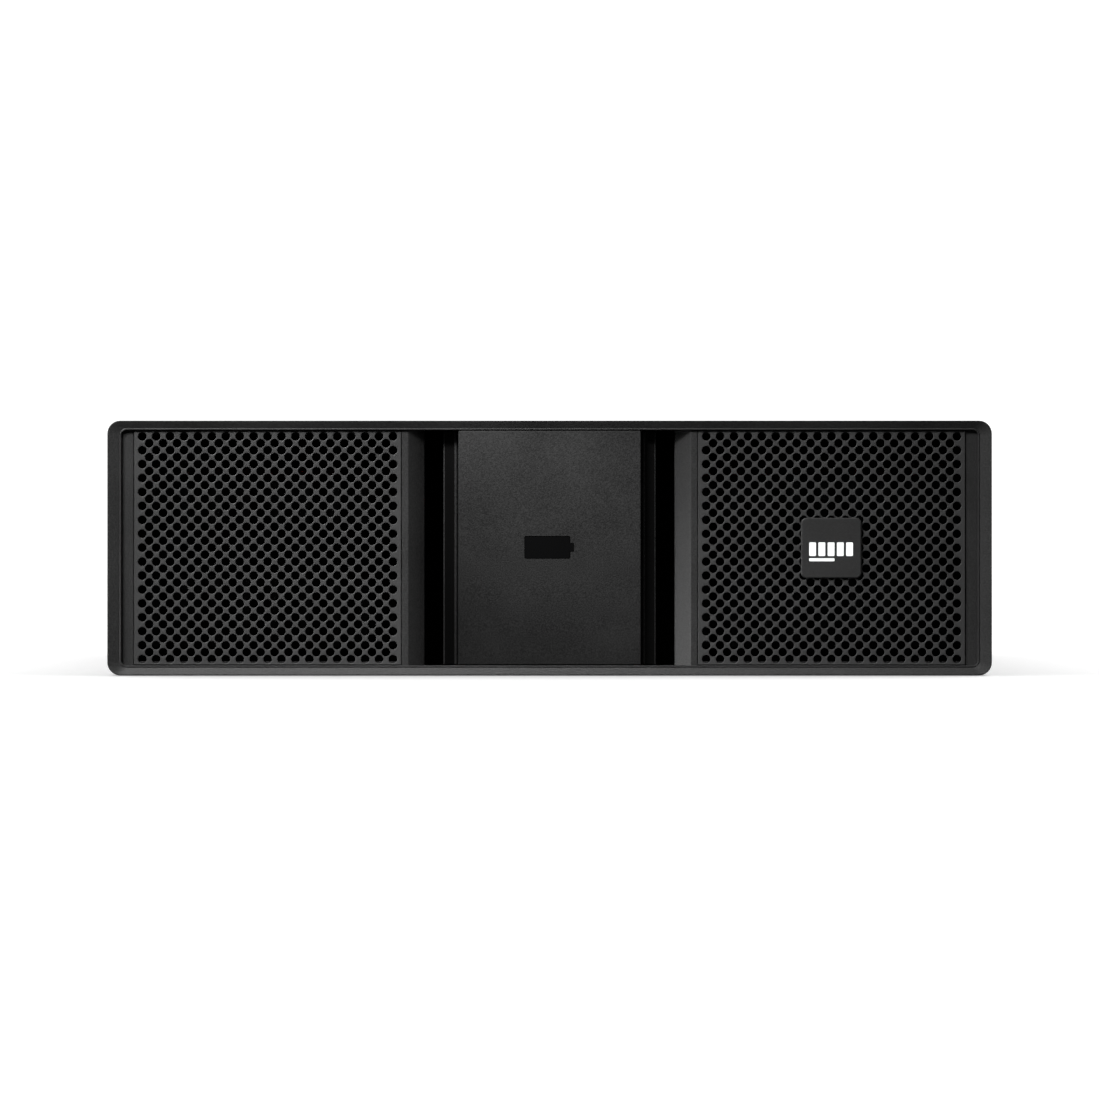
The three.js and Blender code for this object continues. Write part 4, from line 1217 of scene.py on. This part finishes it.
def build_lights(floor, cover, inside):
    """Two keys from the upper left, a weak low fill, and a soft box close above the centre cover.

    The far key reaches what is pulled forward past the near one. The floor and what is behind
    the grilles get the sky's light alone.
    """
    others = light_group("all_but_floor_cover_and_inside", [floor, *cover, *inside], "EXCLUDE")
    cover_only = light_group("cover_only", cover, "INCLUDE")
    high_left = (-0.12, FRONT, 1.3 * BEZEL.z1 * MM)
    low_middle = (0.03, FRONT, -0.02)
    cover_top = (0.0, FRONT, 0.75 * BEZEL.z1 * MM)
    # name, place (its Y from the front), what it faces, size, power, spread and what it lights
    lamps = [
        ("far_key", (-1.08, -1.62, 1.47), high_left, (1.2, 0.6), 11, 90, others),
        ("key", (-0.44, -0.54, 0.6), high_left, (0.5, 0.25), 1.2, 44, others),
        ("fill", (-0.7, -0.4, 0.03), low_middle, (0.2, 0.03), 0.12, 20, others),
        ("cover", (-0.15, -0.22, 0.37), cover_top, (0.2, 0.05), 0.38, 44, cover_only),
    ]
    for name, (x, ahead, z), aim, size, power, spread, group in lamps:
        lamp = soft_box(f"{name}_softbox", (x, FRONT + ahead, z), aim, size, power, spread)
        lamp.light_linking.receiver_collection = group


def build_camera():
    """Straight on to the front, as far off as makes the frame 547 mm wide at the rim."""
    lens, sensor, wide = 200, 36, 0.547
    camera = bpy.data.cameras.new("front_camera")
    camera.lens = lens
    camera.sensor_width = sensor
    camera.clip_end = 100
    obj = added("front_camera", camera)
    obj.location = (0.0002, FRONT - wide * lens / sensor, 0.0626)
    obj.rotation_euler = (math.pi / 2, 0, 0)
    bpy.context.scene.camera = obj


# ---------------------------------------------------------------- assembly


def dress_front():
    """The bezel's and the cover's pieces. The cover's are handed on to the lights."""
    body = "front_bezel"
    piece("bezel_moulding", bezel_frame(), body, "bezel_plastic", ["bezel_frame"])
    piece("bezel_fittings", bezel_fittings(), body, "bezel_plastic")
    for label, side in TRAY_SIDES:
        plate = shell(perforated_plate, GRILLE[side])
        piece(f"perforated_grille_{label}", plate, body, "grille_steel", [f"{label}_grille"])
    piece("badge_plate", badge_plate(), body, "badge_plastic", ["badge"])
    piece("badge_gauge", badge_print(), body, "badge_ink")
    # the band beside the cover's face gets a smoother material whose darker colour is painted shade
    body, band = "centre_cover", ("step_shade_gloss", on_shaded_step)
    return [
        piece("cover_moulding", centre_cover(), body, "cover_plastic", ["centre_cover"], band),
        piece("battery_pictogram", battery_symbol(), body, "symbol_gloss", ["battery_symbol"]),
    ]


def dress_chassis():
    body = "chassis"
    for name, bm, material, *replaced in (
        ("chassis_pan", folded_pan(), "chassis_paint", "base_pan"),
        ("chassis_lid", folded_lid(), "chassis_paint", "top_cover"),
        ("ear_inserts", rivet_nuts(), "screw_steel"),
        ("case_screws", chassis_screws(), "black_screw"),
        ("rear_sheet", rear_sheet(), "chassis_paint", "rear_panel"),
        ("outlet_contacts", outlet_contacts(), "contact_gold"),
        ("outlet_screws", outlet_screws(), "screw_steel"),
        ("port_contacts", port_contacts(), "contact_gold"),
        ("breaker_marks", breaker_marks(), "badge_ink"),
        ("earth_stud", earth_stud(), "screw_steel", "ground_stud"),
        ("rating_plate", blank_label(), "label_paper"),
    ):
        piece(name, bm, body, material, replaced)
    for i, (outlet, port) in enumerate(zip(OUTLETS, PORTS), start=1):
        piece(f"outlet_housing_{i}", outlet_housing(outlet), body, "connector_housing", [f"dc_outlet_{i}"])
        piece(f"port_housing_{i}", port_housing(port), body, "black_plastic", [f"detection_port_{i}"])
    piece("breaker_lever", breaker_lever(), "breaker_toggle", "black_plastic", ["breaker_toggle"])


def dress_tray(label, side, case):
    """A tray's pieces. The ones to be seen through the grille are handed on to the lights."""
    body = f"tray_{label}"
    blocks = []
    for i, middle, turn in block_spots(label, side):
        obj = added(f"battery_case_{label}_{i}", case)
        obj.location = place(*middle)
        obj.rotation_euler.z = turn
        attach(obj, body)
        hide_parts(f"battery_block_{label}_{i}")
        blocks.append(obj)
    for i, rows in enumerate(zip(TERMINAL_ROWS, TERMINAL_ROWS[1:]), start=1):
        piece(f"row_to_row_link_{label}_{i}", row_to_row(side, *rows), body, "cable_jacket")
    for name, bm, material, *replaced in (
        ("positive_bases", terminal_bases(label, side, 1), "cable_red"),
        ("negative_bases", terminal_bases(label, side, -1), "black_plastic"),
        ("terminal_tabs", terminal_tabs(label, side), "screw_steel"),
        ("row_links", row_links(side), "cable_jacket"),
        ("return_cable", return_cable(side), "cable_red"),
        ("fuse_link", fuse_link(side), "cable_red"),
        ("tab_boots", tab_boots(side), "black_plastic"),
        ("fuse_base", fuse_base(label), "fuse_base", "fuse_block"),
        ("fuse_cartridge", fuse_cartridge(label), "ceramic"),
        ("fuse_caps_and_clips", fuse_metal(label), "screw_steel"),
        ("lead_core_red", lead_cores(label, side, 3.6), "cable_red", "tray_lead"),
        ("lead_core_black", lead_cores(label, side, -3.6), "cable_jacket"),
        ("plug_body", plug_body(label), "connector_housing", "tray_plug"),
        # the handle behind the grille gets near-black paint as painted shade
        ("handle_rod", handle_rod(side), "shade_black_paint", "tray_handle"),
    ):
        last = piece(f"{name}_{label}", bm, body, material, [f"{kind}_{label}" for kind in replaced])
    return [*blocks, last]


def dress_trays():
    case = mesh_of(battery_case(), "battery_case")
    case.shade_smooth()
    case.set_sharp_from_angle(angle=math.radians(35))
    case.materials.append(MATERIAL["block_case"])
    case.materials.append(MATERIAL["block_lid"])
    for face in case.polygons:
        face.material_index = int(face.center.z > 83.7 * MM)
    return [obj for label, side in TRAY_SIDES for obj in dress_tray(label, side, case)]


def dress_cad_nodes():
    """CAD nodes that keep their shape get their material and rounded edges.

    The ones to be seen through the grilles are handed on to the lights.
    """
    by_slot = {row["node"]: row["material_slot"] for row in frame["record"]["subparts"]}
    inside = []
    for name, obj in frame["nodes"].items():
        if obj.hide_render:
            continue
        slot = by_slot[name]
        shaded_behind_grille = name.startswith(("tray_front", "front_bulkhead"))
        if shaded_behind_grille or name.startswith("tray_"):
            inside.append(obj)
        obj.data.materials.clear()
        # what lies behind the grilles gets near-black paint, as painted shade, in place of its own
        # material
        obj.data.materials.append(MATERIAL["shade_black_paint" if shaded_behind_grille else slot])
        modify(obj, "WELD", merge_threshold=1e-6)
        modify(obj, "DECIMATE", decimate_type="DISSOLVE", angle_limit=math.radians(1))
        sharp = math.radians(40)
        modify(obj, "BEVEL", width=0.35 * MM, segments=2, limit_method="ANGLE", angle_limit=sharp)
    return inside


build_camera()
cover_pieces = dress_front()
dress_chassis()
build_lights(build_stage(), cover_pieces, dress_trays() + dress_cad_nodes())
